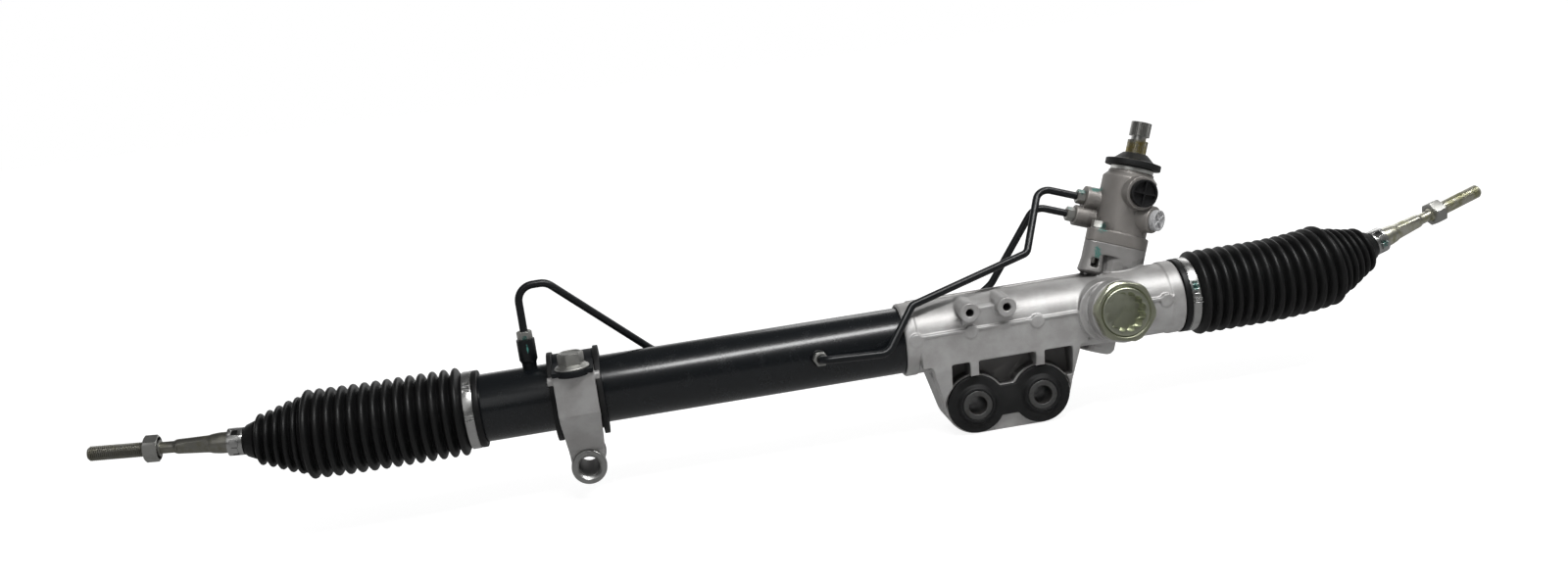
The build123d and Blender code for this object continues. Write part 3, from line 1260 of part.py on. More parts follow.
# Input shaft with serrations and a groove for the clamp bolt
spline_height = SPLINE_RADIUS - SPLINE_ROOT + SPLINE_SINK
with BuildPart() as input_shaft:
    turn(STEM, [
        (SLEEVE_BASE + SLIP, BAR_HEAD + SEAT),
        (SLEEVE_BASE + SLIP, SHAFT_RADIUS),
        (SLEEVE_TOP, SHAFT_RADIUS),
        (SLEEVE_TOP + 0.5, JOURNAL_RADIUS),
        (SPLINE_BASE - 3, JOURNAL_RADIUS),
        (SPLINE_BASE, SPLINE_ROOT),
        (GROOVE_BASE, SPLINE_ROOT),
        (GROOVE_BASE, GROOVE_RADIUS),
        (GROOVE_BASE + GROOVE_WIDTH, GROOVE_RADIUS),
        (GROOVE_BASE + GROOVE_WIDTH, SPLINE_ROOT),
        (SHAFT_TOP, SPLINE_ROOT),
        (SHAFT_TOP, BAR_HEAD + SEAT),
    ])
    for low, high in ((SPLINE_BASE, GROOVE_BASE), (GROOVE_BASE + GROOVE_WIDTH, SHAFT_TOP)):
        with BuildSketch(across(STEM, low)) as serrations:
            Circle(SPLINE_ROOT)
            with PolarLocations(SPLINE_ROOT - SPLINE_SINK, SPLINE_COUNT):
                Polygon(
                    (0, -SPLINE_FOOT),
                    (spline_height, -SPLINE_CREST),
                    (spline_height, SPLINE_CREST),
                    (0, SPLINE_FOOT),
                    align=None,
                )
            Circle(BAR_HEAD + SEAT, mode=Mode.SUBTRACT)
        extrude(serrations.sketch, amount=high - low)
    ring(pin_line(UPPER_PIN), -STEM_RADIUS, STEM_RADIUS, PIN_RADIUS, mode=Mode.SUBTRACT)
save(input_shaft, "input_shaft")

cover_base = valve_mouth + TOP_RING_HEIGHT + SLIP
with BuildPart() as dust_cover:
    turn(STEM, [
        (cover_base, JOURNAL_RADIUS),
        (cover_base, COVER_RADIUS - 1),
        (cover_base + 1, COVER_RADIUS),
        (cover_base + COVER_RIM, COVER_RADIUS),
        (cover_base + COVER_RIM + 1, COVER_RADIUS - 6),
        (cover_base + COVER_RIM + COVER_CONE, JOURNAL_RADIUS + 1.5),
        (cover_base + COVER_RIM + COVER_CONE, JOURNAL_RADIUS),
    ])
save(dust_cover, "dust_cover")

for side, hand in ((-1, "left"), (1, "right")):
    rod = rod_line(side)
    out = end_line(side)
    ball_centre = Plane(origin=rod.origin, x_dir=out.x_dir, z_dir=(0, 0, 1))
    seat_outer = BALL_RADIUS + SLIP / 2 + SEAT_WALL
    # Socket screwed into the bar, its stop flange against the lock washer
    with BuildPart() as ball_socket:
        reach = BALL_REACH - STOP_REACH
        turn(ball_centre, [
            (-reach - STUD_LENGTH, 0),
            (-reach - STUD_LENGTH, STUD_RADIUS - SEAT),
            (-reach, STUD_RADIUS - SEAT),
            (-reach, SOCKET_OUTER),
            (SOCKET_NOSE - 4, SOCKET_OUTER),
            (SOCKET_NOSE, SOCKET_OUTER - 3),
            (SOCKET_NOSE, 0),
        ])
        with Locations(ball_centre):
            Sphere(seat_outer + SLIP / 2, mode=Mode.SUBTRACT)
        turn(ball_centre, [(0, 0), (MOUTH_DEEP, 0), (MOUTH_DEEP, MOUTH_WIDE), (0, MOUTH_NARROW)], mode=Mode.SUBTRACT)
    save(ball_socket, f"{hand}_ball_socket")

    with BuildPart() as lock_washer:
        ring(out, BAR_REACH, STOP_REACH, SOCKET_OUTER + 0.8, STUD_RADIUS)
    save(lock_washer, f"{hand}_lock_washer")

    with BuildPart() as ball_seat:
        with Locations(ball_centre):
            Sphere(seat_outer)
            Sphere(BALL_RADIUS + SLIP / 2, mode=Mode.SUBTRACT)
        ring(ball_centre, SEAT_MOUTH, 20, 20, mode=Mode.SUBTRACT)
    save(ball_seat, f"{hand}_ball_seat")

    # Axial rod: ball, tapering shank under the boot, wrench flats, neck and thread
    with BuildPart() as tie_rod:
        with BuildSketch(rod) as rod_outline:
            with BuildLine():
                ball_end = sqrt(BALL_RADIUS**2 - SHANK_RADIUS**2)
                thread_free = JAM_START + JAM_THICK + NUT_RUNOUT
                ThreePointArc((-BALL_RADIUS, 0), (0, BALL_RADIUS), (ball_end, SHANK_RADIUS))
                Polyline(
                    (ball_end, SHANK_RADIUS),
                    (SHANK_END, SHANK_RADIUS),
                    (ROD_START, ROD_RADIUS),
                    (CLIP_INNER_EDGE + CLIP_WIDTH + 4, ROD_RADIUS),
                    (FLATS_START, ROD_WAIST),
                    (FLATS_END, ROD_WAIST),
                    (NECK_START, ROD_NECK),
                    (THREAD_START - 1, ROD_NECK),
                    (THREAD_START, THREAD_RADIUS - PITCH_DEPTH),
                    (thread_free - PITCH_DEPTH, THREAD_RADIUS - PITCH_DEPTH),
                    (thread_free, THREAD_RADIUS),
                    (ROD_LENGTH - 1, THREAD_RADIUS),
                    (ROD_LENGTH, THREAD_RADIUS - 1),
                    (ROD_LENGTH, 0),
                    (-BALL_RADIUS, 0),
                )
            make_face()
        revolve(rod_outline.sketch, axis=Axis(rod.origin, rod.x_dir))
        for way in (1, -1):
            with BuildSketch(across(rod, FLATS_START)) as flats:
                with Locations((0, way * (FLATS_ACROSS / 2 + 3))):
                    Rectangle(20, 6)
            extrude(flats.sketch, amount=FLATS_END - FLATS_START - 1, mode=Mode.SUBTRACT)
    save(tie_rod, f"{hand}_tie_rod")

    with BuildPart() as jam_nut:
        prism(rod, JAM_START, JAM_START + JAM_THICK, JAM_FLATS, turned=JAM_TURN)
        ring(rod, JAM_START - 1, JAM_START + JAM_THICK + 1, THREAD_RADIUS - PITCH_DEPTH + SEAT, mode=Mode.SUBTRACT)
    save(jam_nut, f"{hand}_jam_nut")

    # Boot: collar on the housing, tapering bellows along the bent middle line, neck on the rod
    bend = radians(180) - rod.x_dir.get_angle(-out.x_dir) * pi / 180
    bend_radius = BOOT_TANGENT / tan(bend / 2)
    bend_normal = out.x_dir.cross(rod.x_dir).normalized()
    arc_length = bend_radius * bend
    bend_start = BALL_REACH - BOOT_TANGENT

    def boot_plane(station):
        """Plane square to the boot's middle line at a station from the middle of the rack."""
        turned = min(max(station - bend_start, 0), arc_length) / bend_radius
        way = out.x_dir.rotate(Axis((0, 0, 0), bend_normal), degrees(turned))
        inward = bend_normal.cross(out.x_dir)
        point = out.origin + out.x_dir * min(station, bend_start)
        point = point + out.x_dir * (bend_radius * sin(turned))
        point = point + inward * (bend_radius * (1 - cos(turned)))
        point = point + way * max(station - bend_start - arc_length, 0)
        return Plane(origin=point, x_dir=bend_normal, z_dir=way)

    lip_start = HOUSING_HALF - 0.5 - BAND_WIDTH - BOOT_LIP_WIDTH
    band_start = lip_start + BOOT_LIP_WIDTH
    wave_start = band_start + BAND_WIDTH + 2.5
    profile = [
        (lip_start, BOOT_LIP_RADIUS),
        (band_start - 0.5, BOOT_LIP_RADIUS),
        (band_start, BOOT_COLLAR),
        (band_start + BAND_WIDTH, BOOT_COLLAR),
    ]
    for k in range(BOOT_WAVES):
        profile.append((wave_start + (k + 0.35) * BOOT_PITCH, BOOT_CREST))
        profile.append((wave_start + (k + 0.85) * BOOT_PITCH, BOOT_CREST - BOOT_DEPTH))
    taper_start = wave_start + BOOT_WAVES * BOOT_PITCH
    for k, crest in enumerate(TAPER_CRESTS):
        profile.append((taper_start + (k + 0.35) * TAPER_PITCH, crest))
        profile.append((taper_start + (k + 0.85) * TAPER_PITCH, crest - BOOT_DEPTH))
    neck_start = bend_start + arc_length + (CLIP_INNER_EDGE - BOOT_TANGENT)
    profile.append((neck_start - 2, NECK_RADIUS + 2))
    profile.append((neck_start, NECK_RADIUS))
    profile.append((neck_start + CLIP_WIDTH, NECK_RADIUS))
    hollow = [(HOUSING_HALF + 0.5, BOOT_INNER), (bend_start, BOOT_INNER)]
    for k in (0.25, 0.5):
        hollow.append((bend_start + k * 2 * BOOT_TANGENT, BOOT_INNER))
    hollow += [
        (taper_start + len(TAPER_CRESTS) * TAPER_PITCH - 4, TAPER_CRESTS[-1] - BOOT_DEPTH - 2),
        (neck_start - 2, ROD_RADIUS + SEAT),
        (neck_start + CLIP_WIDTH + 1, ROD_RADIUS + SEAT),
    ]
    with BuildPart() as boot:
        for station, radius in profile:
            with BuildSketch(boot_plane(station)):
                Circle(radius)
        loft(ruled=True)
        ring(out, lip_start - 1, HOUSING_HALF + 1, TUBE_RADIUS + SEAT, mode=Mode.SUBTRACT)
        hollow_sections = []
        for station, radius in hollow:
            with BuildSketch(boot_plane(station), mode=Mode.PRIVATE) as hollow_ring:
                Circle(radius)
            hollow_sections.append(hollow_ring.sketch)
        loft(hollow_sections, ruled=True, mode=Mode.SUBTRACT)
    save(boot, f"{hand}_boot")

    with BuildPart() as boot_band:
        ring(out, band_start, band_start + BAND_WIDTH, BOOT_COLLAR + SEAT + BAND_THICK, BOOT_COLLAR + SEAT)
    save(boot_band, f"{hand}_boot_band")

    with BuildPart() as boot_clip:
        ring(
            rod, CLIP_INNER_EDGE, CLIP_INNER_EDGE + CLIP_WIDTH,
            NECK_RADIUS + SEAT + CLIP_THICK, NECK_RADIUS + SEAT,
        )
    save(boot_clip, f"{hand}_boot_clip")
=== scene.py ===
"""Looks of a hydraulic rack and pinion steering gear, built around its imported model."""

from __future__ import annotations

import json
import logging
import math
from collections.abc import Callable, Iterator
from contextlib import contextmanager
from dataclasses import dataclass
from enum import Enum

import bpy
import numpy as np
from mathutils import Matrix, Vector
from mathutils.bvhtree import BVHTree

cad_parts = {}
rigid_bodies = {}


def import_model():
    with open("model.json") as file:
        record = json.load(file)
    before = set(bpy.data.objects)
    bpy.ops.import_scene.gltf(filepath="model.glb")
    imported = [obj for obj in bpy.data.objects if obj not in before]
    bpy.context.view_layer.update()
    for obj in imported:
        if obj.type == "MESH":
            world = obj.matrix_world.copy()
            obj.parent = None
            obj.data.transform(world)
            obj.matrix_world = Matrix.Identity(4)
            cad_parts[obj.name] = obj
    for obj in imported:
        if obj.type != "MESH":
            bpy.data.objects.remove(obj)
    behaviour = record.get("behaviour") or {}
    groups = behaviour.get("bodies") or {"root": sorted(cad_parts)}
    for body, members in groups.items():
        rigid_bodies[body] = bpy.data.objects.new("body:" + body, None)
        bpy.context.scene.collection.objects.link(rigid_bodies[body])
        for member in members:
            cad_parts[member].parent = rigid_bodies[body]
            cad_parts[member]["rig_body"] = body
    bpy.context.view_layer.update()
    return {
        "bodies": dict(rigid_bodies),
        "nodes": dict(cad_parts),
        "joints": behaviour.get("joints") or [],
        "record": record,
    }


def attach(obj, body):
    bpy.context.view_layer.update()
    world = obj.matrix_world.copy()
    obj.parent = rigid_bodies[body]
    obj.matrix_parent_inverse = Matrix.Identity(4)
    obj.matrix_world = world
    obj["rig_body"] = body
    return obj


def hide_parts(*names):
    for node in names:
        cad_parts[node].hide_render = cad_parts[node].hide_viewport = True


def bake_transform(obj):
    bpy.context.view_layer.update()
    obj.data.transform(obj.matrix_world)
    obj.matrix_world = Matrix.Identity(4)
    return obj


LOG = logging.getLogger("steering_rack")
MM = 0.001
AXIS_HEIGHT = 60.5
RACK_CENTRE = -109.6
HOUSING_HALF = 312.0
BALL_REACH = 430.0
TUBE_RADIUS = 28.0
TUBE_JOINT = -55.9
BUSH_SPACING = 57.1
BAND_GAP = 0.5
BAND_WIDTH = 7.6
CLIP_START = 60.4
CLIP_WIDTH = 12.0
INSTALL = math.radians(20.0)
LEAN = math.radians(7.0)
WELD = 0.002
CAD_WELD = 0.0005

Piece = bpy.types.Object
Profile = list[tuple[float, float]]
Triple = tuple[float, float, float]


class Slot(Enum):
    """Material slots of the record."""

    CAST = "cast_aluminium"
    PAINT = "black_paint"
    STEEL = "steel"
    CLIP = "clip_steel"
    ZINC = "zinc"
    RUBBER = "rubber"
    BOOT = "boot_rubber"
    DARK = "dark_plastic"
    LIGHT = "light_plastic"


class Body(Enum):
    """Moving bodies of the record."""

    HOUSING = "housing"
    RACK = "rack"
    INPUT = "input"
    LEFT_SEAT = "left_seat"
    RIGHT_SEAT = "right_seat"
    LEFT_ROD = "left_rod"
    RIGHT_ROD = "right_rod"


# Shader arithmetic


class Socket:
    """A node output that takes part in Python arithmetic."""

    def __init__(self, graph: Graph, output: bpy.types.NodeSocket) -> None:
        """Keeps the graph and the output it stands for."""
        self.graph = graph
        self.output = output

    def _math(self, operation: str, *values: Socket | float) -> Socket:
        """Adds one Math node.

        Args:
            operation: The node's operation.
            values: Its inputs in order.

        Returns:
            The node's value.
        """
        return self.graph.node("ShaderNodeMath", {"operation": operation}, dict(enumerate(values)))

    def __add__(self, other: Socket | float) -> Socket:
        """Sum."""
        return self._math("ADD", self, other)

    __radd__ = __add__

    def __sub__(self, other: Socket | float) -> Socket:
        """Difference."""
        return self._math("SUBTRACT", self, other)

    def __rsub__(self, other: float) -> Socket:
        """Difference from a number."""
        return self._math("SUBTRACT", other, self)

    def __mul__(self, other: Socket | float) -> Socket:
        """Product."""
        return self._math("MULTIPLY", self, other)

    __rmul__ = __mul__

    def __pow__(self, other: float) -> Socket:
        """Power."""
        return self._math("POWER", self, other)

    def above(self, low: float, high: float) -> Socket:
        """Smooth step from 0 at low to 1 at high."""
        settings = {"interpolation_type": "SMOOTHSTEP"}
        return self.graph.node("ShaderNodeMapRange", settings, {0: self, 1: low, 2: high})


class Graph:
    """Node graph of one material."""

    def __init__(self, name: str) -> None:
        """Starts a material that holds only a principled shader."""
        self.material = bpy.data.materials.new(name)
        self.material.use_nodes = True
        self.tree = self.material.node_tree
        self.shader = self.tree.nodes["Principled BSDF"]
        self.place = self.node("ShaderNodeTexCoord", {}, {}, "Object")

    @classmethod
    def of_tree(cls, tree: bpy.types.NodeTree) -> Graph:
        """Graph around a tree that exists."""
        graph = cls.__new__(cls)
        graph.tree = tree
        return graph

    def node(self, kind: str, settings: dict, inputs: dict, output: int | str = 0) -> Socket:
        """Adds a node of any type.

        Args:
            kind: The node's type.
            settings: Its properties, set first.
            inputs: Values or links by socket.
            output: The output wanted.

        Returns:
            The output as a socket.
        """
        made = self.tree.nodes.new(kind)
        for key, value in settings.items():
            setattr(made, key, value)
        for key, value in inputs.items():
            self.feed(made.inputs[key], value)
        return Socket(self, made.outputs[output])

    def feed(self, target: bpy.types.NodeSocket, value: object) -> None:
        """Links a socket to the target, or writes a plain value on it."""
        if isinstance(value, Socket):
            self.tree.links.new(value.output, target)
        else:
            target.default_value = value

    def noise(self, scale: float, detail: float, rough: float = 0.55) -> Socket:
        """Noise with a feature size in cycles per metre."""
        inputs = {"Vector": self.place, "Scale": scale, "Detail": detail, "Roughness": rough}
        return self.node("ShaderNodeTexNoise", {}, inputs)

    def blend(self, share: Socket | float, low: object, high: object) -> Socket:
        """Mix of two colours."""
        settings = {"data_type": "RGBA"}
        return self.node("ShaderNodeMix", settings, {0: share, 6: low, 7: high}, 2)

    def bump(self, height: Socket, distance: float, strength: float) -> Socket:
        """Bump from a height between 0 and 1, its depth in metres."""
        inputs = {"Height": height, "Distance": distance, "Strength": strength}
        return self.node("ShaderNodeBump", {}, inputs)

    def axes(self, vector: Socket | None = None) -> tuple[Socket, ...]:
        """X, Y and Z of a vector, by default of the place in metres."""
        split = self.tree.nodes.new("ShaderNodeSeparateXYZ")
        self.feed(split.inputs[0], vector or self.place)
        return tuple(Socket(self, output) for output in split.outputs)

    def rays(self) -> tuple[Socket, Socket]:
        """Whether a ray is the camera's own, and whether it is mirrored or let through."""
        outputs = self.tree.nodes.new("ShaderNodeLightPath").outputs
        kinds = ("Is Camera Ray", "Is Glossy Ray", "Is Transmission Ray")
        seen, glossy, let_through = (Socket(self, outputs[kind]) for kind in kinds)
        return seen, glossy + let_through

    def set(self, **values: object) -> bpy.types.Material:
        """Feeds the principled shader's sockets by name, underscores for spaces."""
        for key, value in values.items():
            self.feed(self.shader.inputs[key.replace("_", " ")], value)
        return self.material


def grey(value: float, warm: float = 0.0) -> tuple[float, float, float, float]:
    """Opaque grey, a little warm or cold."""
    return (value * (1 + warm), value, value * (1 - warm), 1.0)


CHECK_GREEN = (0.045, 0.19, 0.165, 1.0)


@dataclass(frozen=True)
class Dab:
    """Smear of green check paint: its middle and reach in millimetres and how far it is drawn out."""

    middle: Vector
    reach: float
    drawn: Triple = (1.0, 1.0, 1.0)

    def share(self, graph: Graph) -> Socket:
        """How much the smear covers at each place."""
        squeeze = Vector([1.0 / part for part in self.drawn])
        place = graph.node("ShaderNodeVectorMath", {"operation": "MULTIPLY"}, {0: graph.place, 1: squeeze})
        spot = self.middle * squeeze * MM
        away = graph.node("ShaderNodeVectorMath", {"operation": "DISTANCE"}, {0: place, 1: spot}, "Value")
        reach = self.reach * MM
        ragged = away + (graph.noise(420.0, 5.0, 0.75) - 0.5) * (2.2 * reach)
        worn = graph.noise(900.0, 3.0, 0.6).above(0.36, 0.6)
        return (1.0 - ragged.above(0.5 * reach, 1.0 * reach)) * (0.45 + 0.5 * worn)


@dataclass(frozen=True)
class Finish:
    """A finish, made into a material once and shared."""

    name: str
    slot: Slot

    def paint(self, graph: Graph) -> bpy.types.Material:
        """Dresses the graph."""
        raise NotImplementedError

    def material(self) -> bpy.types.Material:
        """The finish's material, made at its first use."""
        return bpy.data.materials.get(self.name) or self.paint(Graph(self.name))

    @staticmethod
    def dabbed(graph: Graph, colour: Socket, dabs: tuple[Dab, ...]) -> Socket:
        """Colour with smears of check paint over it."""
        for dab in dabs:
            colour = graph.blend(dab.share(graph), colour, CHECK_GREEN)
        return colour


@dataclass(frozen=True)
class Casting(Finish):
    """As-cast aluminium: matte grain, mottling, stains, painted shade in recesses and painted shade up the
    tower.
    """

    tone: float = 0.30
    grain: float = 900.0
    warm: float = 0.01
    dabs: tuple[Dab, ...] = ()
    # Height in millimetres where the painted shade up the tower begins, and the rise over which it comes
    # in.
    foot: float = 82.0
    rise: float = 16.0

    def paint(self, graph: Graph) -> bpy.types.Material:
        """Dresses the graph."""
        # Painted shade: the colour darkens up the tower, from the foot height over the rise.
        tower_shade = graph.axes()[2].above(self.foot * MM, (self.foot + self.rise) * MM)
        grain = graph.noise(self.grain, 3.0, 0.6)
        mottle = graph.noise(55.0, 5.0, 0.6)
        stain = graph.noise(17.0, 3.0, 0.5).above(0.50, 0.78)
        # Painted shade: the colour darkens and roughens where the stored cavity share says a vertex is shut
        # in.
        cavity_shade = graph.node("ShaderNodeAttribute", {"attribute_name": "cavity"}, {}, "Fac").above(0.2, 0.7)
        dark, light = grey(self.tone * 0.86, self.warm + 0.01), grey(self.tone * 1.1, self.warm)
        colour = graph.blend(mottle.above(0.3, 0.7), dark, light)
        for share, shade in ((stain * 0.4, 0.62), (tower_shade * 0.6, 0.5), (cavity_shade * 0.85, 0.16)):
            colour = graph.blend(share, colour, grey(self.tone * shade, self.warm + 0.03))
        return graph.set(
            Base_Color=self.dabbed(graph, colour, self.dabs),
            Metallic=0.55,
            Roughness=0.38 + 0.2 * mottle + 0.15 * cavity_shade,
            Normal=graph.bump(0.5 * grain + 0.8 * mottle, 0.0003, 0.6),
        )


@dataclass(frozen=True)
class Lacquer(Finish):
    """Black gloss paint over steel."""

    rough: float = 0.25
    mirror: float = 0.45
    coat: float = 0.2
    dabs: tuple[Dab, ...] = ()

    def paint(self, graph: Graph) -> bpy.types.Material:
        """Dresses the graph."""
        peel = graph.noise(240.0, 2.0)
        dust = graph.noise(70.0, 6.0, 0.7).above(0.5, 0.85)
        colour = graph.blend(dust * 0.3, grey(0.004, -0.25), grey(0.014, -0.1))
        return graph.set(
            Base_Color=self.dabbed(graph, colour, self.dabs),
            Roughness=self.rough + 0.14 * dust,
            Specular_IOR_Level=self.mirror,
            Coat_Weight=self.coat,
            Coat_Roughness=0.17,
            Normal=graph.bump(peel, 0.00006, 0.6),
        )


@dataclass(frozen=True)
class Metal(Finish):
    """Bare or plated steel with faint machining and grease, and painted shade with dark oxide inside any
    listed bores.
    """

    colour: Triple = (0.34, 0.335, 0.31)
    stain: Triple = (0.25, 0.23, 0.17)
    rough: float = 0.30
    stained: float = 0.5
    dabs: tuple[Dab, ...] = ()
    bore_shade_and_oxide: tuple[float, ...] = ()
    bore_radius: float = 8.0
    greased_to: float = math.inf

    def paint(self, graph: Graph) -> bpy.types.Material:
        """Dresses the graph."""
        fine = graph.noise(1400.0, 2.0, 0.6)
        patch = graph.noise(130.0, 4.0, 0.6).above(0.42, 0.72)
        if self.greased_to < math.inf:
            edge = graph.axes()[2].above((self.greased_to - 2) * MM, (self.greased_to + 2) * MM)
            patch = (0.35 + 0.65 * patch) * (1.0 - edge)
        colour = graph.blend(patch * self.stained, (*self.colour, 1.0), (*self.stain, 1.0))
        colour = self.dabbed(graph, colour, self.dabs)
        metallic: Socket | float = 1.0
        # Painted shade with dark oxide: bore walls go near black and lose their metal reflection.
        for place in self.bore_shade_and_oxide:
            inside = self.inside(graph, place)
            colour = graph.blend(inside, colour, grey(0.012, 0.1))
            metallic = metallic - inside
        return graph.set(
            Base_Color=colour,
            Metallic=metallic,
            Roughness=self.rough + 0.16 * patch + 0.06 * fine,
            Normal=graph.bump(fine, 0.00006, 0.5),
        )

    def inside(self, graph: Graph, place: float) -> Socket:
        """Share of the wall of a bore along Y at a place along X in millimetres, painted as shade with dark
        oxide.
        """
        along, _, height = graph.axes()
        across = along - place * MM
        away = (across * across + height * height) ** 0.5
        return 1.0 - away.above((self.bore_radius + 0.05) * MM, (self.bore_radius + 0.5) * MM)


@dataclass(frozen=True)
class Rubber(Finish):
    """Black rubber with a dusty bloom."""

    tone: float = 0.007
    bloom: float = 0.02
    rough: float = 0.5
    mirror: float = 0.25

    def paint(self, graph: Graph) -> bpy.types.Material:
        """Dresses the graph."""
        fine = graph.noise(1100.0, 3.0, 0.6)
        bloom = graph.noise(45.0, 5.0, 0.65).above(0.45, 0.8)
        return graph.set(
            Base_Color=graph.blend(bloom * 0.5, grey(self.tone, -0.03), grey(self.bloom, 0.0)),
            Roughness=self.rough + 0.2 * bloom,
            Specular_IOR_Level=self.mirror,
            Normal=graph.bump(fine, 0.00008, 0.5),
        )


@dataclass(frozen=True)
class Plastic(Finish):
    """Moulded plastic."""

    colour: Triple = (0.006, 0.006, 0.0065)
    rough: float = 0.42

    def paint(self, graph: Graph) -> bpy.types.Material:
        """Dresses the graph."""
        fine = graph.noise(700.0, 3.0, 0.6)
        low = tuple(0.85 * part for part in self.colour)
        return graph.set(
            Base_Color=graph.blend(fine.above(0.35, 0.7), (*low, 1.0), (*self.colour, 1.0)),
            Roughness=self.rough + 0.12 * fine,
            Specular_IOR_Level=0.3,
            Normal=graph.bump(fine, 0.00005, 0.5),
        )


# Lines of the part


@dataclass(frozen=True)
class Line:
    """A straight line with a direction across it, in millimetres of the part's frame."""

    origin: Vector
    along: Vector
    side: Vector

    @property
    def third(self) -> Vector:
        """Direction square to the line and its side."""
        return self.along.cross(self.side)

    def point(self, station: float, radius: float = 0.0, angle: float = 0.0) -> Vector:
        """Point in metres at a station, a radius and an angle from side about the line."""
        across = self.side * math.cos(angle) + self.third * math.sin(angle)
        return (self.origin + self.along * station + across * radius) * MM

    def parts(self, point: Vector) -> tuple[float, float, float]:
        """Station and the two offsets across, in millimetres, of a point in metres."""
        offset = point / MM - self.origin
        return offset.dot(self.along), offset.dot(self.side), offset.dot(self.third)

    def matrix(self, station: float, turned: float = 0.0) -> Matrix:
        """Frame at a station: Z along the line and X at an angle in degrees from side."""
        angle = math.radians(turned)
        first = self.side * math.cos(angle) + self.third * math.sin(angle)
        second = self.along.cross(first)
        turn = Matrix((first, second, self.along)).transposed().to_4x4()
        return Matrix.Translation(self.point(station)) @ turn


ACROSS = Vector((1, 0, 0))
TOOTH_LINE = Vector((0, math.sin(LEAN), math.cos(LEAN)))
REARWARD = Vector((0, math.cos(LEAN), -math.sin(LEAN)))
PINION_UP = ACROSS * math.sin(INSTALL) + TOOTH_LINE * math.cos(INSTALL)
PINION_SIDE = ACROSS * math.cos(INSTALL) - TOOTH_LINE * math.sin(INSTALL)
PINION_ORIGIN = Vector((131.5, 16.3514, 58.4923))
FRONT = Vector((0, -1, 0))
UP = Vector((0, 0, 1))
RACK_LINE = Line(Vector((0, 0, AXIS_HEIGHT)), ACROSS, FRONT)
STEM = Line(PINION_ORIGIN, PINION_UP, -REARWARD)
YOKE = Line(Vector((126.5, 0, AXIS_HEIGHT)), -REARWARD, ACROSS.cross(-REARWARD))


def port_line(height: float, turned: float, offset: float = 0.0) -> Line:
    """Line that leaves the pinion axis square to it, turned in degrees from the front."""
    angle = math.radians(turned)
    way = -REARWARD * math.cos(angle) + PINION_SIDE * math.sin(angle)
    return Line(PINION_ORIGIN + PINION_UP * height + REARWARD * offset, way, PINION_UP.cross(way))


UPPER_PORT = port_line(88.5, -90.0, 6.0)
LOWER_PORT = port_line(72.0, -90.0, 6.0)
RETURN_PORT = port_line(80.0, 38.0)
LEFT_PORT = Line(Vector((-365.2, 0, AXIS_HEIGHT)), UP, ACROSS.cross(UP))
TILT = math.radians(7.0)
FRONT_WAY = Vector((0, -math.cos(TILT), math.sin(TILT)))
FRONT_PORT = Line(Vector((-129.6, 0, AXIS_HEIGHT)), FRONT_WAY, ACROSS.cross(FRONT_WAY))


@dataclass(frozen=True)
class Side:
    """One end of the rack: its rod line and the bent middle line of its boot."""

    hand: str
    sign: int
    rise: float
    back: float
    tangent: float = 60.0

    @property
    def way(self) -> Vector:
        """Direction of the rod, outwards."""
        rise, back = math.radians(self.rise), math.radians(self.back)
        flat = math.cos(rise) * math.cos(back)
        return Vector((self.sign * flat, math.cos(rise) * math.sin(back), math.sin(rise)))

    @property
    def out(self) -> Vector:
        """Direction of the rack, outwards."""
        return Vector((self.sign, 0, 0))

    @property
    def rod(self) -> Line:
        """Line of the rod from its ball centre."""
        centre = Vector((RACK_CENTRE + self.sign * BALL_REACH, 0, AXIS_HEIGHT))
        normal = Vector((0, 1, 0)).cross(self.way)
        return Line(centre, self.way, normal.cross(self.way).normalized())

    @property
    def end(self) -> Line:
        """Line along the rack from the middle of the stroke."""
        return Line(Vector((RACK_CENTRE, 0, AXIS_HEIGHT)), self.out, FRONT)

    @property
    def bend(self) -> float:
        """Angle of the boot's bend in radians."""
        return self.out.angle(self.way)

    @property
    def bend_radius(self) -> float:
        """Radius of the bend."""
        return self.tangent / math.tan(self.bend / 2)

    def straight(self, station: float) -> float:
        """Station measured along the bent middle line for one measured along the rod from the ball."""
        return BALL_REACH - self.tangent + self.bend_radius * self.bend + station - self.tangent

    def path(self, station: float) -> tuple[Vector, Vector, Vector]:
        """Point, direction and front direction of the boot's middle line.

        Args:
            station: Distance along the line from the middle of the rack.

        Returns:
            The point in millimetres, the direction along the line and one across it.
        """
        start = BALL_REACH - self.tangent
        arc = self.bend_radius * self.bend
        turned = min(max(station - start, 0.0), arc) / self.bend_radius
        normal = self.out.cross(self.way).normalized()
        inward = normal.cross(self.out)
        turn = Matrix.Rotation(turned, 3, normal)
        point = Vector((RACK_CENTRE, 0, AXIS_HEIGHT)) + self.out * min(station, start)
        point += self.out * (self.bend_radius * math.sin(turned))
        point += inward * (self.bend_radius * (1 - math.cos(turned)))
        way = turn @ self.out
        point += way * max(station - start - arc, 0.0)
        return point, way, turn @ FRONT


SIDES = (Side("left", -1, 4.75, 0.0), Side("right", 1, 14.1, 9.26))


# Finishes in use


def on_line(line: Line, station: float, radius: float, angle: float) -> Vector:
    """Place in millimetres on the skin round a line, its angle in degrees from the line's side."""
    return line.point(station, radius, math.radians(angle)) / MM


def on_tower(height: float, side: float, back: float) -> Vector:
    """Place in millimetres at a height up the pinion axis."""
    return PINION_ORIGIN + PINION_UP * height + PINION_SIDE * side + REARWARD * back


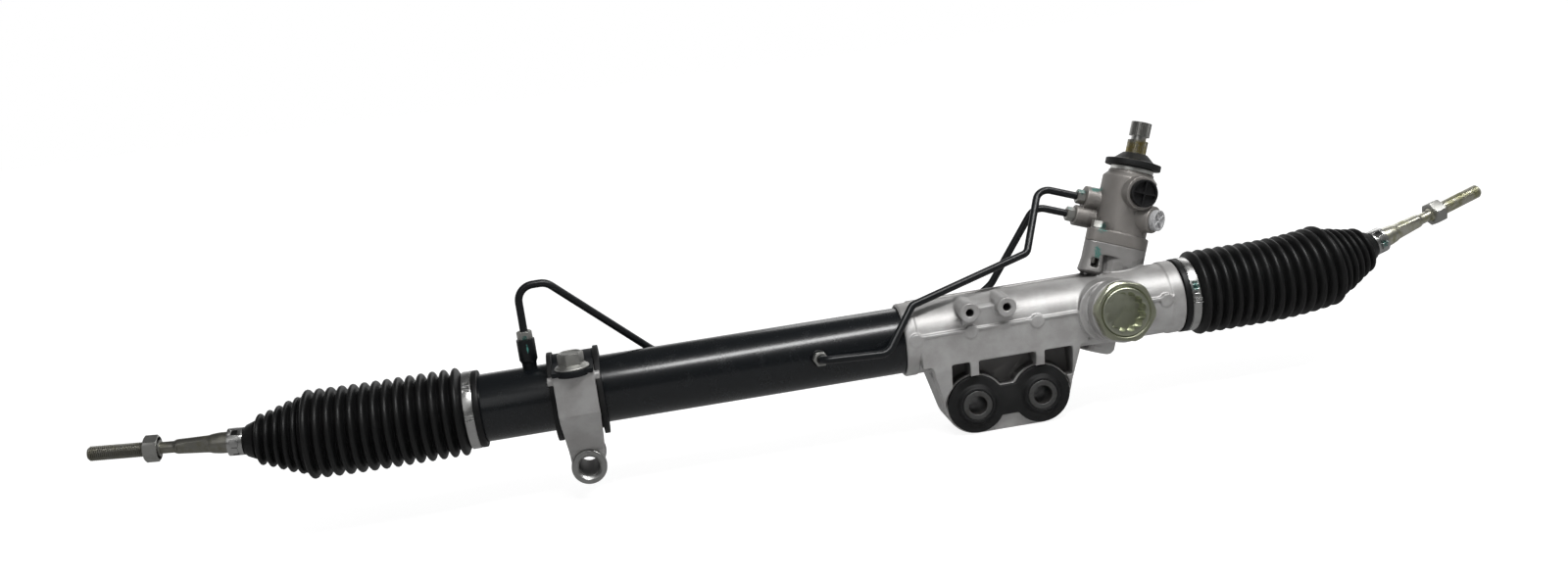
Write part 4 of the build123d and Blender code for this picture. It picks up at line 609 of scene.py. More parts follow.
CAST_DABS = (
    Dab(on_tower(59.0, -23.0, -29.0), 4.6, (1.7, 1.0, 0.8)),
    Dab(on_tower(43.0, -24.5, -28.0), 3.4, (1.0, 1.0, 2.2)),
)
VALVE_DABS = (
    Dab(on_line(UPPER_PORT, 28.0, 10.5, 55.0), 3.2, (2.3, 1.0, 1.0)),
    Dab(on_tower(63.5, -24.0, -24.0), 5.0, (1.3, 1.3, 0.8)),
)
NUT_DABS = (
    Dab(on_line(UPPER_PORT, 38.5, 6.0, 60.0), 4.0, (1.5, 1.2, 1.0)),
    Dab(on_line(LOWER_PORT, 46.5, 6.0, 60.0), 2.2),
    Dab(on_line(LEFT_PORT, 53.5, 6.0, 0.0), 3.0),
    Dab(on_tower(66.0, -23.0, -24.0), 4.0),
)
CAST = Casting("as_cast_aluminium", Slot.CAST, 0.35, dabs=CAST_DABS)
VALVE_CAST = Casting("valve_casting", Slot.CAST, 0.28, warm=0.045, dabs=VALVE_DABS)
CLAMP_CAST = Casting("clamp_casting", Slot.CAST, 0.31)
PAINT = Lacquer("gloss_black_paint", Slot.PAINT)
UNION_DAB = Dab(on_line(LEFT_PORT, 45.0, 7.5, 8.0), 1.3, (0.6, 1.0, 3.6))
PIPE_PAINT = Lacquer("pipe_black_coat", Slot.PAINT, 0.36, 0.4, 0.0, (UNION_DAB,))
STRAP_PAINT = Lacquer("strap_black_paint", Slot.PAINT, 0.55, 0.25, 0.0)
STEEL = Metal("machined_steel", Slot.STEEL)
ROD_STEEL = Metal("rod_steel", Slot.STEEL, (0.30, 0.295, 0.265), (0.20, 0.19, 0.13), 0.34, 0.6)
BRIGHT_ROD_STEEL = Metal("bright_rod_steel", Slot.STEEL, (0.66, 0.65, 0.57), (0.34, 0.34, 0.17), 0.3, 0.8)
SPLINE_STEEL = Metal(
    "greased_spline_steel", Slot.STEEL, (0.44, 0.44, 0.42), (0.25, 0.20, 0.05), 0.26, 0.95, greased_to=196.0
)
# The two sleeve bores get painted shade with dark oxide.
SLEEVE_STEEL = Metal(
    "sleeve_steel", Slot.STEEL, (0.16, 0.16, 0.158), (0.11, 0.108, 0.1), 0.5, 0.6, bore_shade_and_oxide=(0.0, BUSH_SPACING)
)
CLIP = Metal("bright_clip_steel", Slot.CLIP, (0.82, 0.82, 0.79), (0.60, 0.60, 0.55), 0.34, 0.3)
BAND_DABS = (
    Dab(on_line(SIDES[1].end, 307.7, 32.0, -24.0), 4.4, (1.0, 1.0, 1.3)),
    Dab(on_line(SIDES[1].rod, 66.0, 11.4, 0.0), 4.2),
)
BAND_STEEL = Metal("band_steel", Slot.CLIP, (0.56, 0.56, 0.55), (0.42, 0.42, 0.41), 0.24, 0.3, BAND_DABS)
EYE_METAL = Metal("machined_eye", Slot.CAST, (0.44, 0.44, 0.43), (0.30, 0.30, 0.29), 0.30, 0.4)
ZINC = Metal("yellow_clear_zinc", Slot.ZINC, (0.46, 0.475, 0.36), (0.34, 0.36, 0.25), 0.30, 0.4)
BOLT_ZINC = Metal("bolt_zinc", Slot.ZINC, (0.42, 0.42, 0.40), (0.32, 0.315, 0.28), 0.38, 0.3, NUT_DABS)
CUP_ALUMINIUM = Metal("cup_aluminium", Slot.CAST, (0.52, 0.54, 0.43), (0.38, 0.40, 0.29), 0.27, 0.4)
RUBBER = Rubber("mount_rubber", Slot.RUBBER)
BOOT = Rubber("bellows_rubber", Slot.BOOT, 0.0045, 0.01, 0.42)
BLACK_PLASTIC = Plastic("black_plug_plastic", Slot.DARK)
GREY_PLASTIC = Plastic("grey_plug_plastic", Slot.LIGHT, (0.30, 0.30, 0.305), 0.4)


# Modelling


def deselect() -> None:
    """Leaves edit mode and deselects everything."""
    if bpy.context.object and bpy.context.object.mode != "OBJECT":
        bpy.ops.object.mode_set(mode="OBJECT")
    bpy.ops.object.select_all(action="DESELECT")


def added(operator: Callable[..., set[str]], **settings: object) -> Piece:
    """Object that an operator adds, the only one selected."""
    deselect()
    operator(**settings)
    return bpy.context.object


def take(*pieces: Piece) -> None:
    """Selects only these pieces and makes the first one active."""
    deselect()
    for piece in pieces:
        piece.select_set(True)
    bpy.context.view_layer.objects.active = pieces[0]


@contextmanager
def editing(piece: Piece) -> Iterator[None]:
    """Edit mode with a piece's whole mesh selected."""
    take(piece)
    bpy.ops.object.mode_set(mode="EDIT")
    bpy.ops.mesh.select_all(action="SELECT")
    yield
    bpy.ops.object.mode_set(mode="OBJECT")


def settle(piece: Piece, name: str = "") -> Piece:
    """Moves a piece's place into its mesh and names it."""
    take(piece)
    bpy.ops.object.transform_apply(location=True, rotation=True, scale=True)
    if name:
        piece.name = name
        piece.data.name = name
    return piece


def modify(piece: Piece, kind: str, **settings: object) -> None:
    """Adds a modifier, sets it and applies it.

    Args:
        piece: The piece to change.
        kind: The modifier's type.
        settings: Its properties.
    """
    take(piece)
    modifier = piece.modifiers.new(kind.lower(), kind)
    for key, value in settings.items():
        setattr(modifier, key, value)
    bpy.ops.object.modifier_apply(modifier=modifier.name)


def soften(piece: Piece, width: float, segments: int = 2) -> None:
    """Bevels a piece's sharp edges by a width in millimetres."""
    settings = {"limit_method": "ANGLE", "angle_limit": math.radians(32)}
    modify(piece, "BEVEL", width=width * MM, segments=segments, **settings)


def smooth(piece: Piece, angle: float = 35.0) -> Piece:
    """Shades a piece smooth up to an angle in degrees."""
    take(piece)
    bpy.ops.object.shade_smooth_by_angle(angle=math.radians(angle))
    return piece


def mend(piece: Piece) -> None:
    """Merges doubles and turns the faces outwards."""
    with editing(piece):
        bpy.ops.mesh.remove_doubles(threshold=WELD * MM)
        bpy.ops.mesh.normals_make_consistent(inside=False)


def joined(name: str, pieces: list[Piece]) -> Piece:
    """Joins pieces into one."""
    take(*pieces)
    if len(pieces) > 1:
        bpy.ops.object.join()
    pieces[0].name = name
    pieces[0].data.name = name
    return pieces[0]


def rounded(points: Profile, radius: float, arcs: int = 3, closed: bool = False) -> Profile:
    """Profile with its corners rounded.

    Args:
        points: Stations and radii.
        radius: Largest corner radius.
        arcs: Segments in each corner.
        closed: Whether the outline returns to its start.

    Returns:
        The profile with an arc at each corner.
    """
    nodes = [Vector((*point, 0.0)) for point in points]
    if closed:
        nodes = [nodes[-1], *nodes, nodes[0]]
    result: Profile = [] if closed else [points[0]]
    for before, here, after in zip(nodes, nodes[1:], nodes[2:]):
        back, ahead = before - here, after - here
        reach = min(radius, 0.48 * back.length, 0.48 * ahead.length)
        if reach < 1e-6 or back.angle(ahead) > math.pi - 0.02:
            result.append((here.x, here.y))
            continue
        first = here + back.normalized() * reach
        last = here + ahead.normalized() * reach
        for step in range(arcs + 1):
            share = step / arcs
            spot = first * (1 - share) ** 2 + here * (2 * share * (1 - share)) + last * share**2
            result.append((spot.x, spot.y))
    if closed:
        result.append(result[0])
    else:
        result.append(points[-1])
    return result


def ring(low: float, high: float, bore: float, radius: float) -> Profile:
    """Outline of a plain ring between two stations, or of a drum where the bore is 0."""
    return [(low, bore), (low, radius), (high, radius), (high, bore)]


def spun(name: str, line: Line, profile: Profile, steps: int = 96) -> Piece:
    """Turned piece.

    Args:
        name: Name of the piece.
        line: Line it turns about.
        profile: Stations and radii, in order.
        steps: Segments round the line.

    Returns:
        The closed, smooth piece.
    """
    points = [line.point(*spot) for spot in profile]
    piece = added(bpy.ops.mesh.primitive_plane_add, size=MM, location=points[0])
    with editing(piece):
        bpy.ops.mesh.merge(type="CENTER")
        for before, here in zip(points, points[1:]):
            bpy.ops.mesh.extrude_region_move(TRANSFORM_OT_translate={"value": here - before})
        bpy.ops.mesh.select_all(action="SELECT")
        bpy.ops.mesh.spin(steps=steps, angle=2 * math.pi, center=line.point(0), axis=line.along)
    settle(piece, name)
    mend(piece)
    return smooth(piece)


def slice_off(piece: Piece, point: Vector, outward: Vector) -> None:
    """Cuts off what lies beyond a plane and closes the cut."""
    with editing(piece):
        bpy.ops.mesh.bisect(plane_co=point, plane_no=outward, use_fill=True, clear_outer=True)


# The casting finish reads this share to paint shade into recesses.
def note_cavities(piece: Piece, reach: float, ways: int) -> Piece:
    """Stores how shut in each vertex lies, as a share of rays that hit the piece within a reach."""
    tree = BVHTree.FromObject(piece, bpy.context.evaluated_depsgraph_get())
    rays = []
    for index in range(ways):
        height = 1 - (2 * index + 1) / ways
        turn = index * math.pi * (3 - math.sqrt(5))
        flat = math.sqrt(1 - height * height)
        rays.append(Vector((flat * math.cos(turn), flat * math.sin(turn), height)))
    shares = []
    for vertex in piece.data.vertices:
        start = vertex.co + vertex.normal * (0.3 * MM)
        seen = [ray for ray in rays if ray.dot(vertex.normal) > 0.2]
        hits = sum(1 for ray in seen if tree.ray_cast(start, ray, reach * MM)[0])
        shares.append(hits / max(len(seen), 1))
    layer = piece.data.attributes.new("cavity", "FLOAT", "POINT")
    layer.data.foreach_set("value", shares)
    return piece


def hexagon(line: Line, start: float, end: float, flats: float, turned: float) -> Piece:
    """Plain hexagonal bar along a line, one flat's middle at the turned angle."""
    radius, depth = flats / 2 / math.cos(math.pi / 6) * MM, (end - start) * MM
    piece = added(bpy.ops.mesh.primitive_cylinder_add, vertices=6, radius=radius, depth=depth)
    piece.matrix_world = line.matrix((start + end) / 2, turned + 120.0)
    return settle(piece)


def carve(piece: Piece, tool: Piece, operation: str = "DIFFERENCE") -> None:
    """Boolean with a tool, which is then removed."""
    modify(piece, "BOOLEAN", object=tool, operation=operation, solver="EXACT")
    bpy.data.objects.remove(tool)


def hex_nut(
    name: str, line: Line, start: float, end: float, flats: float, bore: float, turned: float = 0.0
) -> Piece:
    """Chamfered hexagon nut.

    Args:
        name: Name of the piece.
        line: Line through its bore.
        start: Station of its near face.
        end: Station of its far face.
        flats: Size across flats.
        bore: Radius of the bore.
        turned: Angle of a flat.

    Returns:
        The nut.
    """
    nut = hexagon(line, start, end, flats, turned)
    corner = flats / math.sqrt(3)
    drop = 0.6 * (corner - flats / 2)
    cone = [(start, 0.0), (start, flats / 2 * 0.97), (start + drop, corner)]
    cone += [(end - drop, corner), (end, flats / 2 * 0.97), (end, 0.0)]
    carve(nut, spun("cone", line, cone, 72), "INTERSECT")
    chamfer = 0.12 * bore
    mouth = bore + chamfer
    hole = [(start - 1, 0.0), (start - 1, mouth), (start, mouth), (start + chamfer, bore)]
    hole += [(end - chamfer, bore), (end, mouth), (end + 1, mouth), (end + 1, 0.0)]
    carve(nut, spun("hole", line, hole, 48))
    soften(nut, 0.25, 2)
    nut.name = name
    return smooth(nut)


def block(name: str, frame: Matrix, size: Triple, bevel: float, middle: bool = True) -> Piece:
    """Bevelled block of a size in millimetres in a frame, on it or about its middle."""
    piece = added(bpy.ops.mesh.primitive_cube_add, size=MM)
    lift = 0.0 if middle else size[2] / 2 * MM
    piece.matrix_world = frame @ Matrix.Translation((0, 0, lift)) @ Matrix.Diagonal((*size, 1.0))
    settle(piece, name)
    if bevel:
        soften(piece, bevel, 3)
    return smooth(piece)


class Workshop:
    """Copies CAD nodes and puts finished pieces on their bodies."""

    def __init__(self, nodes: dict[str, Piece]) -> None:
        """Keeps the CAD nodes."""
        self.nodes = nodes

    def copy(self, node: str, name: str) -> Piece:
        """Loose copy of a CAD node with its doubles merged."""
        take(self.nodes[node])
        bpy.ops.object.duplicate()
        piece = bpy.context.object
        piece.parent = None
        piece.matrix_world = Matrix.Identity(4)
        for key in list(piece.keys()):
            del piece[key]
        piece.data.materials.clear()
        piece.name = name
        with editing(piece):
            bpy.ops.mesh.customdata_custom_splitnormals_clear()
            bpy.ops.mesh.remove_doubles(threshold=CAD_WELD * MM)
        return piece

    def cast(self, node: str, name: str, voxel: float, passes: int, share: float = 0.5) -> Piece:
        """Copy of a CAD node with the rounded edges and fillets of a casting."""
        piece = self.copy(node, name)
        modify(piece, "REMESH", mode="VOXEL", voxel_size=voxel * MM, adaptivity=0.0)
        modify(piece, "SMOOTH", factor=0.5, iterations=passes)
        modify(piece, "DECIMATE", ratio=share)
        bpy.ops.object.shade_smooth()
        LOG.info("%s has %d faces", name, len(piece.data.polygons))
        return note_cavities(piece, 26.0, 22)

    def softened(self, node: str, name: str, width: float) -> Piece:
        """Copy of a CAD node with its edges softened."""
        piece = self.copy(node, name)
        soften(piece, width)
        return smooth(piece)

    def place(self, piece: Piece, finish: Finish, *replaced: str, body: Body = Body.HOUSING) -> None:
        """Dresses a piece, puts it on a body and lets it stand for CAD nodes."""
        piece.data.materials.clear()
        piece.data.materials.append(finish.material())
        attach(piece, body.value)
        if replaced:
            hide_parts(*replaced)
        LOG.info("%s on %s", piece.name, body.value)

    def keep(self, node: str, finish: Finish) -> None:
        """Gives a CAD node that stays its finish."""
        piece = self.nodes[node]
        piece.data.materials.clear()
        piece.data.materials.append(finish.material())
        for face in piece.data.polygons:
            face.material_index = 0
        LOG.info("%s kept", node)


@dataclass
class Cylinder:
    """Painted power cylinder tube and its left union."""

    wall: float = 3.2
    insert: float = 22.0

    def build(self, shop: Workshop) -> None:
        """Builds the tube."""
        left = RACK_CENTRE - HOUSING_HALF
        right = TUBE_JOINT + self.insert
        outline = rounded(ring(left, right, TUBE_RADIUS - self.wall, TUBE_RADIUS), 0.6, 3, True)
        tube = spun("tube_painted", RACK_LINE, outline, 144)
        shop.place(tube, PAINT, "cylinder_tube")
        fitting = shop.softened("left_port_fitting", "left_union_painted", 0.5)
        shop.place(fitting, PIPE_PAINT, "left_port_fitting")


@dataclass
class Castings:
    """Rack housing and valve housing."""

    passes: int = 3
    share: float = 0.36

    def build(self, shop: Workshop) -> None:
        """Builds the castings."""
        for node, name, voxel, finish in (
            ("pinion_housing", "rack_housing_casting", 0.8, CAST),
            ("valve_housing", "valve_housing_casting", 0.55, VALVE_CAST),
        ):
            shop.place(shop.cast(node, name, voxel, self.passes, self.share), finish, node)


@dataclass
class DoubleMount:
    """Figure-eight rubber bush with its two sleeves."""

    sleeve: float = 12.7
    bore: float = 8.0
    half: float = 26.5
    edge: float = 0.9

    def build(self, shop: Workshop) -> None:
        """Builds the rubber and the sleeves."""
        rubber = shop.cast("mount_bush_rubber", "mount_rubber_moulded", 0.7, 3)
        shop.place(rubber, RUBBER, "mount_bush_rubber")
        outline = rounded(ring(-self.half, self.half, self.bore, self.sleeve), self.edge, 3, True)
        lines = [Line(Vector((place, 0, 0)), FRONT, UP) for place in (0.0, BUSH_SPACING)]
        sleeves = [spun("sleeve", line, outline, 72) for line in lines]
        shop.place(joined("mount_sleeves_turned", sleeves), SLEEVE_STEEL, "mount_bush_sleeves")


@dataclass
class YokeEnd:
    """Lock nut and cup plug over the yoke."""

    face: float = 46.0
    thick: float = 8.5
    flats: float = 48.0
    corner: float = 26.0
    bevel: float = 1.3
    turned: float = -12.0
    thread: float = 20.5
    mouth: float = 1.2
    plug_back: float = 34.0
    plug_proud: float = 9.0
    plug_edge: float = 1.0
    lobes: int = 12
    lobe_centre: float = 13.4
    lobe_radius: float = 3.9
    lobe_turn: float = 8.0
    socket_depth: float = 14.5
    socket_draft: float = 0.97
    cutter: float = 30.0

    def build(self, shop: Workshop) -> None:
        """Builds the nut and the plug."""
        low, top = self.face - 1, self.face + self.thick
        nut = hexagon(YOKE, self.face, top, self.flats, self.turned)
        drum = [(low, 0.0), (low, self.corner), (top - self.bevel, self.corner)]
        drum += [(top, self.corner - 1.6 * self.bevel), (top, 0.0)]
        carve(nut, spun("drum", YOKE, drum), "INTERSECT")
        bore, wide = self.thread + 0.05, self.thread + self.mouth
        hole = [(low, 0.0), (low, bore), (top - self.mouth, bore)]
        hole += [(top, wide), (top + 1, wide), (top + 1, 0.0)]
        carve(nut, spun("hole", YOKE, hole))
        soften(nut, 0.4, 3)
        nut.name = "yoke_nut_plated"
        shop.place(smooth(nut), ZINC, "yoke_lock_nut")
        shop.place(self.plug(), CUP_ALUMINIUM, "yoke_plug")

    def plug(self) -> Piece:
        """Plug with its deep twelve-lobed key socket."""
        back, top, edge = self.plug_back, self.face + self.plug_proud, self.plug_edge
        body = [(back, 0.0), (back, self.thread), (top - edge, self.thread)]
        body += [(top, self.thread - edge), (top, 0.0)]
        plug = spun("yoke_cup_plug", YOKE, rounded(body, 0.5), 120)
        star = added(
            bpy.ops.mesh.primitive_cylinder_add, vertices=self.lobes * 12, radius=MM, depth=self.cutter * MM
        )
        part = math.radians(360 / self.lobes)
        for vertex in star.data.vertices:
            angle = math.atan2(vertex.co.y, vertex.co.x)
            off = (angle + part / 2) % part - part / 2
            reach = self.lobe_centre * math.cos(off)
            reach += math.sqrt(self.lobe_radius**2 - (self.lobe_centre * math.sin(off)) ** 2)
            if vertex.co.z < 0:
                reach *= self.socket_draft
            vertex.co = (reach * MM * math.cos(angle), reach * MM * math.sin(angle), vertex.co.z)
        star.matrix_world = YOKE.matrix(top - self.socket_depth + self.cutter / 2, self.lobe_turn)
        carve(plug, settle(star))
        soften(plug, 0.45, 3)
        return smooth(plug)


@dataclass
class TubeClamp:
    """Cast foot bracket, strap, rubber and bolt on the tube."""

    x: float = -329.6
    width: float = 33.0
    play: float = 0.3
    flange: float = 37.0
    flange_thick: float = 4.5
    rubber: float = 4.0
    drop: float = 57.5
    foot: float = 23.0
    bore: float = 8.5
    eye: float = 14.6
    root: float = 5.0
    proud: tuple[float, float] = (2.6, 0.4)
    pad: float = 14.8
    pad_span: tuple[float, float] = (26.4, 31.5)
    bolt_out: float = 41.0
    bolt_seat: float = 31.55
    bolt_flats: float = 18.5
    bolt_flange: float = 14.0
    bolt_head: float = 13.0
    bolt_shank: float = 5.95
    bolt_length: float = 30.0

    def build(self, shop: Workshop) -> None:
        """Builds the clamp."""
        bracket = shop.cast("clamp_bracket", "clamp_foot_casting", 0.6, 5, 0.4)
        shop.place(bracket, CLAMP_CAST, "clamp_bracket")
        inner = self.x - self.width / 2 - self.play
        outer = self.x + self.width / 2 + self.play
        left, right = inner - self.flange_thick, outer + self.flange_thick
        reach = TUBE_RADIUS + self.rubber
        outline = [
            (left, TUBE_RADIUS), (left, self.flange), (inner, self.flange), (inner, reach),
            (outer, reach), (outer, self.flange), (right, self.flange), (right, TUBE_RADIUS),
        ]
        sleeve = spun("clamp_rubber_moulded", RACK_LINE, rounded(outline, 0.8, 3, True))
        shop.place(sleeve, RUBBER, "clamp_rubber")
        eye = Line(Vector((self.x, 0, AXIS_HEIGHT - self.drop)), FRONT, UP)
        for way, step, proud in zip(("front", "back"), (1.0, -1.0), self.proud):
            face = self.foot * step
            top = face + proud * step
            root = face - self.root * step
            collar = [
                (root, self.bore + 2.0), (root, self.eye), (top - 0.7 * step, self.eye),
                (top, self.eye - 0.8), (top, self.bore + 2.2), (top - 2.0 * step, self.bore + 0.05),
                (face - 2.0 * step, self.bore + 0.05),
            ]
            shop.place(spun(f"clamp_eye_{way}", eye, rounded(collar, 0.3, 2, True)), EYE_METAL)
        strap = shop.softened("clamp_strap", "clamp_strap_painted", 0.5)
        seat = Line(Vector((self.x, -self.bolt_out, AXIS_HEIGHT)), UP, FRONT)
        pad = spun("pad", seat, rounded(ring(*self.pad_span, 0.0, self.pad), 0.8), 72)
        shop.place(joined("clamp_strap_painted", [strap, pad]), STRAP_PAINT, "clamp_strap")
        shop.place(self.bolt(), BOLT_ZINC, "clamp_bolt")

    def bolt(self) -> Piece:
        """Flange bolt with a dished head."""
        line = Line(Vector((self.x, -self.bolt_out, AXIS_HEIGHT + self.bolt_seat)), UP, FRONT)
        top = self.bolt_head
        head = hexagon(line, 1.0, top, self.bolt_flats, 10.0)
        cone = [(0.0, 0.0), (0.0, 12.0), (top - 1.6, 12.0), (top, 9.0)]
        cone += [(top, 8.2), (top - 0.6, 7.4), (top - 0.8, 0.0)]
        carve(head, spun("cone", line, cone, 72), "INTERSECT")
        soften(head, 0.3, 2)
        skirt = [(0.0, 0.0), (0.0, self.bolt_flange), (1.4, self.bolt_flange), (4.0, 9.6), (4.0, 0.0)]
        collar = spun("collar", line, rounded(skirt, 0.6), 72)
        shank = spun("shank", line, ring(-self.bolt_length, 0.5, 0.0, self.bolt_shank), 32)
        return smooth(joined("clamp_bolt_plated", [head, collar, shank]))


@dataclass
class PressureLines:
    """Steel pipes between the valve and the tube, with their flare nuts."""

    flats: float = 11.0
    length: float = 7.0
    pipe: float = 3.2

    def build(self, shop: Workshop) -> None:
        """Builds the nuts and dresses the pipes."""
        nuts = []
        for line, seat in ((LEFT_PORT, 52.0), (FRONT_PORT, 33.0), (UPPER_PORT, 35.5), (LOWER_PORT, 41.5)):
            nuts.append(hex_nut("nut", line, seat, seat + self.length, self.flats, self.pipe + 0.1))
        shop.place(joined("flare_nuts_plated", nuts), BOLT_ZINC, "line_nuts")
        for node in ("long_line", "short_line"):
            pipe = shop.copy(node, node + "_coated")
            shop.place(smooth(pipe, 60.0), PIPE_PAINT, node)


@dataclass
class ValveTop:
    """Ring, dust cover, plugs and flange bolts of the tower."""

    ring_span: tuple[float, float] = (118.0, 122.0)
    ring_bore: float = 9.3
    ring_radius: float = 18.5
    cover_base: float = 122.3
    cover_bore: float = 9.0
    cover: float = 24.0
    plug_seat: float = 32.0
    plug_head: float = 5.0
    plug_radius: float = 9.1
    plug_boss: float = 11.7
    plug_stem: float = 6.4
    plug_depth: float = 8.0
    rib: float = 1.3

    def build(self, shop: Workshop) -> None:
        """Builds the tower's fittings."""
        outline = rounded(ring(*self.ring_span, self.ring_bore, self.ring_radius), 0.7, 3, True)
        shop.place(spun("top_ring_plated", STEM, outline), CLIP, "valve_top_ring")
        base, top = self.cover_base, self.cover_base + 12.3
        shield = [
            (base, self.cover_bore), (base, self.cover), (base + 5.0, self.cover),
            (base + 5.5, self.cover - 2.5), (base + 6.2, self.cover - 6.5),
            (top, self.cover_bore + 1.5), (top, self.cover_bore),
        ]
        cover = spun("dust_shield", STEM, rounded(shield, 0.45, 3, True))
        shop.place(cover, RUBBER, "dust_cover", body=Body.INPUT)
        shop.place(shop.softened("valve_bolts", "flange_bolts", 0.3), BOLT_ZINC, "valve_bolts")
        plug = shop.softened("pressure_port_plug", "black_port_plug", 0.25)
        shop.place(plug, BLACK_PLASTIC, "pressure_port_plug")
        shop.place(self.grey_plug(), GREY_PLASTIC, "return_port_plug")
        wide, face = self.plug_boss, self.plug_seat - 0.1
        boss = [(8.0, 0.0), (8.0, wide + 2.0), (20.0, wide + 0.6), (face, wide)]
        boss += [(face, self.plug_stem + 0.2), (face - 3.0, 0.0)]
        shop.place(spun("return_boss_cast", RETURN_PORT, rounded(boss, 1.4, 4)), VALVE_CAST)

    def grey_plug(self) -> Piece:
        """Push-in plug whose face has a raised rim and two crossed ribs."""
        seat, face = self.plug_seat, self.plug_seat + self.plug_head
        back, stem, wide = seat - self.plug_depth, self.plug_stem, self.plug_radius
        body = [
            (back, 0.0), (back, stem), (seat, stem), (seat, wide),
            (face, wide), (face, wide - 1.5), (face - 1.6, wide - 2.1), (face - 1.6, 0.0),
        ]
        pieces = [spun("grey_port_plug", RETURN_PORT, rounded(body, 0.4))]
        size = (2 * wide - 2 * self.rib, self.rib, 1.9)
        for turned in (45.0, 135.0):
            pieces.append(block("rib", RETURN_PORT.matrix(face - 1.9, turned), size, 0.35, False))
        return joined("grey_port_plug", pieces)


@dataclass
class Bellows:
    """One convoluted boot in three parts, over the rack, the ball seat and the rod, bent onto its middle
    line.
    """

    side: Side
    waves: int = 14
    pitch: float = 9.25
    crest: float = 36.5
    depth: float = 6.0
    taper_pitch: float = 7.7
    taper: tuple[float, ...] = (31.4, 29.2, 26.2, 23.3, 21.0)
    neck: float = 10.4
    neck_bore: float = 8.8
    mouth_bore: float = 28.2
    lip: float = 32.0
    lip_length: float = 5.2
    band_seat: float = 30.3
    ball_zone: float = 26.0
    skin: float = 1.4

    WAVE = (
        (0.0, 0.42), (0.1, 0.76), (0.2, 0.94), (0.33, 1.0), (0.46, 0.94),
        (0.57, 0.74), (0.66, 0.4), (0.76, 0.08), (0.85, 0.0), (0.93, 0.1),
    )

    def profile(self) -> Profile:
        """Outer profile of the boot along its middle line."""
        band = HOUSING_HALF - BAND_GAP - BAND_WIDTH
        lip = band - self.lip_length
        points = [(lip, self.mouth_bore), (lip, self.lip), (band - 0.3, self.lip)]
        points += [(band, self.band_seat), (band + BAND_WIDTH + 0.6, self.band_seat)]
        points = rounded(points, 1.0)
        start = band + BAND_WIDTH + 2.5
        waves = [(self.pitch, self.crest)] * self.waves
        waves += [(self.taper_pitch, crest) for crest in self.taper]
        for pitch, crest in waves:
            for phase, height in self.WAVE:
                points.append((start + phase * pitch, crest - self.depth * (1 - height)))
            start += pitch
        neck = self.side.straight(CLIP_START)
        end = neck + CLIP_WIDTH
        points += [(neck - 2.5, self.neck + 2.5), (neck, self.neck), (end - 0.8, self.neck)]
        return points + [(end, self.neck - 0.6), (end, self.neck_bore)]

    def bent(self, piece: Piece) -> None:
        """Moves a straight piece's vertices onto the bent middle line."""
        line = self.side.end
        for vertex in piece.data.vertices:
            station, ahead, aside = line.parts(vertex.co)
            point, way, front = self.side.path(station)
            vertex.co = (point + front * ahead + way.cross(front) * aside) * MM

    def build(self, shop: Workshop) -> None:
        """Builds the boot's three parts."""
        outer = self.profile()
        hand = self.side.hand
        seat, rod = Body[f"{hand.upper()}_SEAT"], Body[f"{hand.upper()}_ROD"]
        near, far = BALL_REACH, BALL_REACH + self.ball_zone
        neck = self.side.straight(CLIP_START)
        parts = (
            (-math.inf, near, Body.HOUSING, Body.RACK, HOUSING_HALF + 1, near - 2),
            (near, far, Body.RACK, seat, near + 1, far - 1),
            (far, math.inf, seat, rod, far + 1, neck - 3),
        )
        for index, (low, high, first, last, start, end) in enumerate(parts):
            part = [spot for spot in outer if low <= spot[0] <= high]
            if index > 0:
                part.insert(0, self.at(outer, low))
            if index < 2:
                part.append(self.at(outer, high))
            inner = [(s, r - self.skin) for s, r in reversed(part) if r > 9]
            if index == 0:
                inner = [(s, max(r, self.mouth_bore) if s < HOUSING_HALF else r) for s, r in inner]
                inner = [spot for spot in inner if spot[0] > HOUSING_HALF - 12]
            if index == 2:
                inner = [(s, max(r, self.neck_bore)) for s, r in inner if s < neck + 1]
            outline = [*part, *inner, part[0]]
            piece = spun(f"{hand}_bellows_{index + 1}", self.side.end, outline)
            self.bent(piece)
            shop.place(piece, BOOT, body=first)
            piece.parent = None
            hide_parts(f"{hand}_boot")
            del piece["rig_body"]
            low_end, high_end = (self.side.path(station)[0] * MM for station in (start, end))
            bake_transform(piece)

    @staticmethod
    def at(points: Profile, station: float) -> tuple[float, float]:
        """Point of a profile at a station."""
        stations = [spot[0] for spot in points]
        return station, float(np.interp(station, stations, [spot[1] for spot in points]))


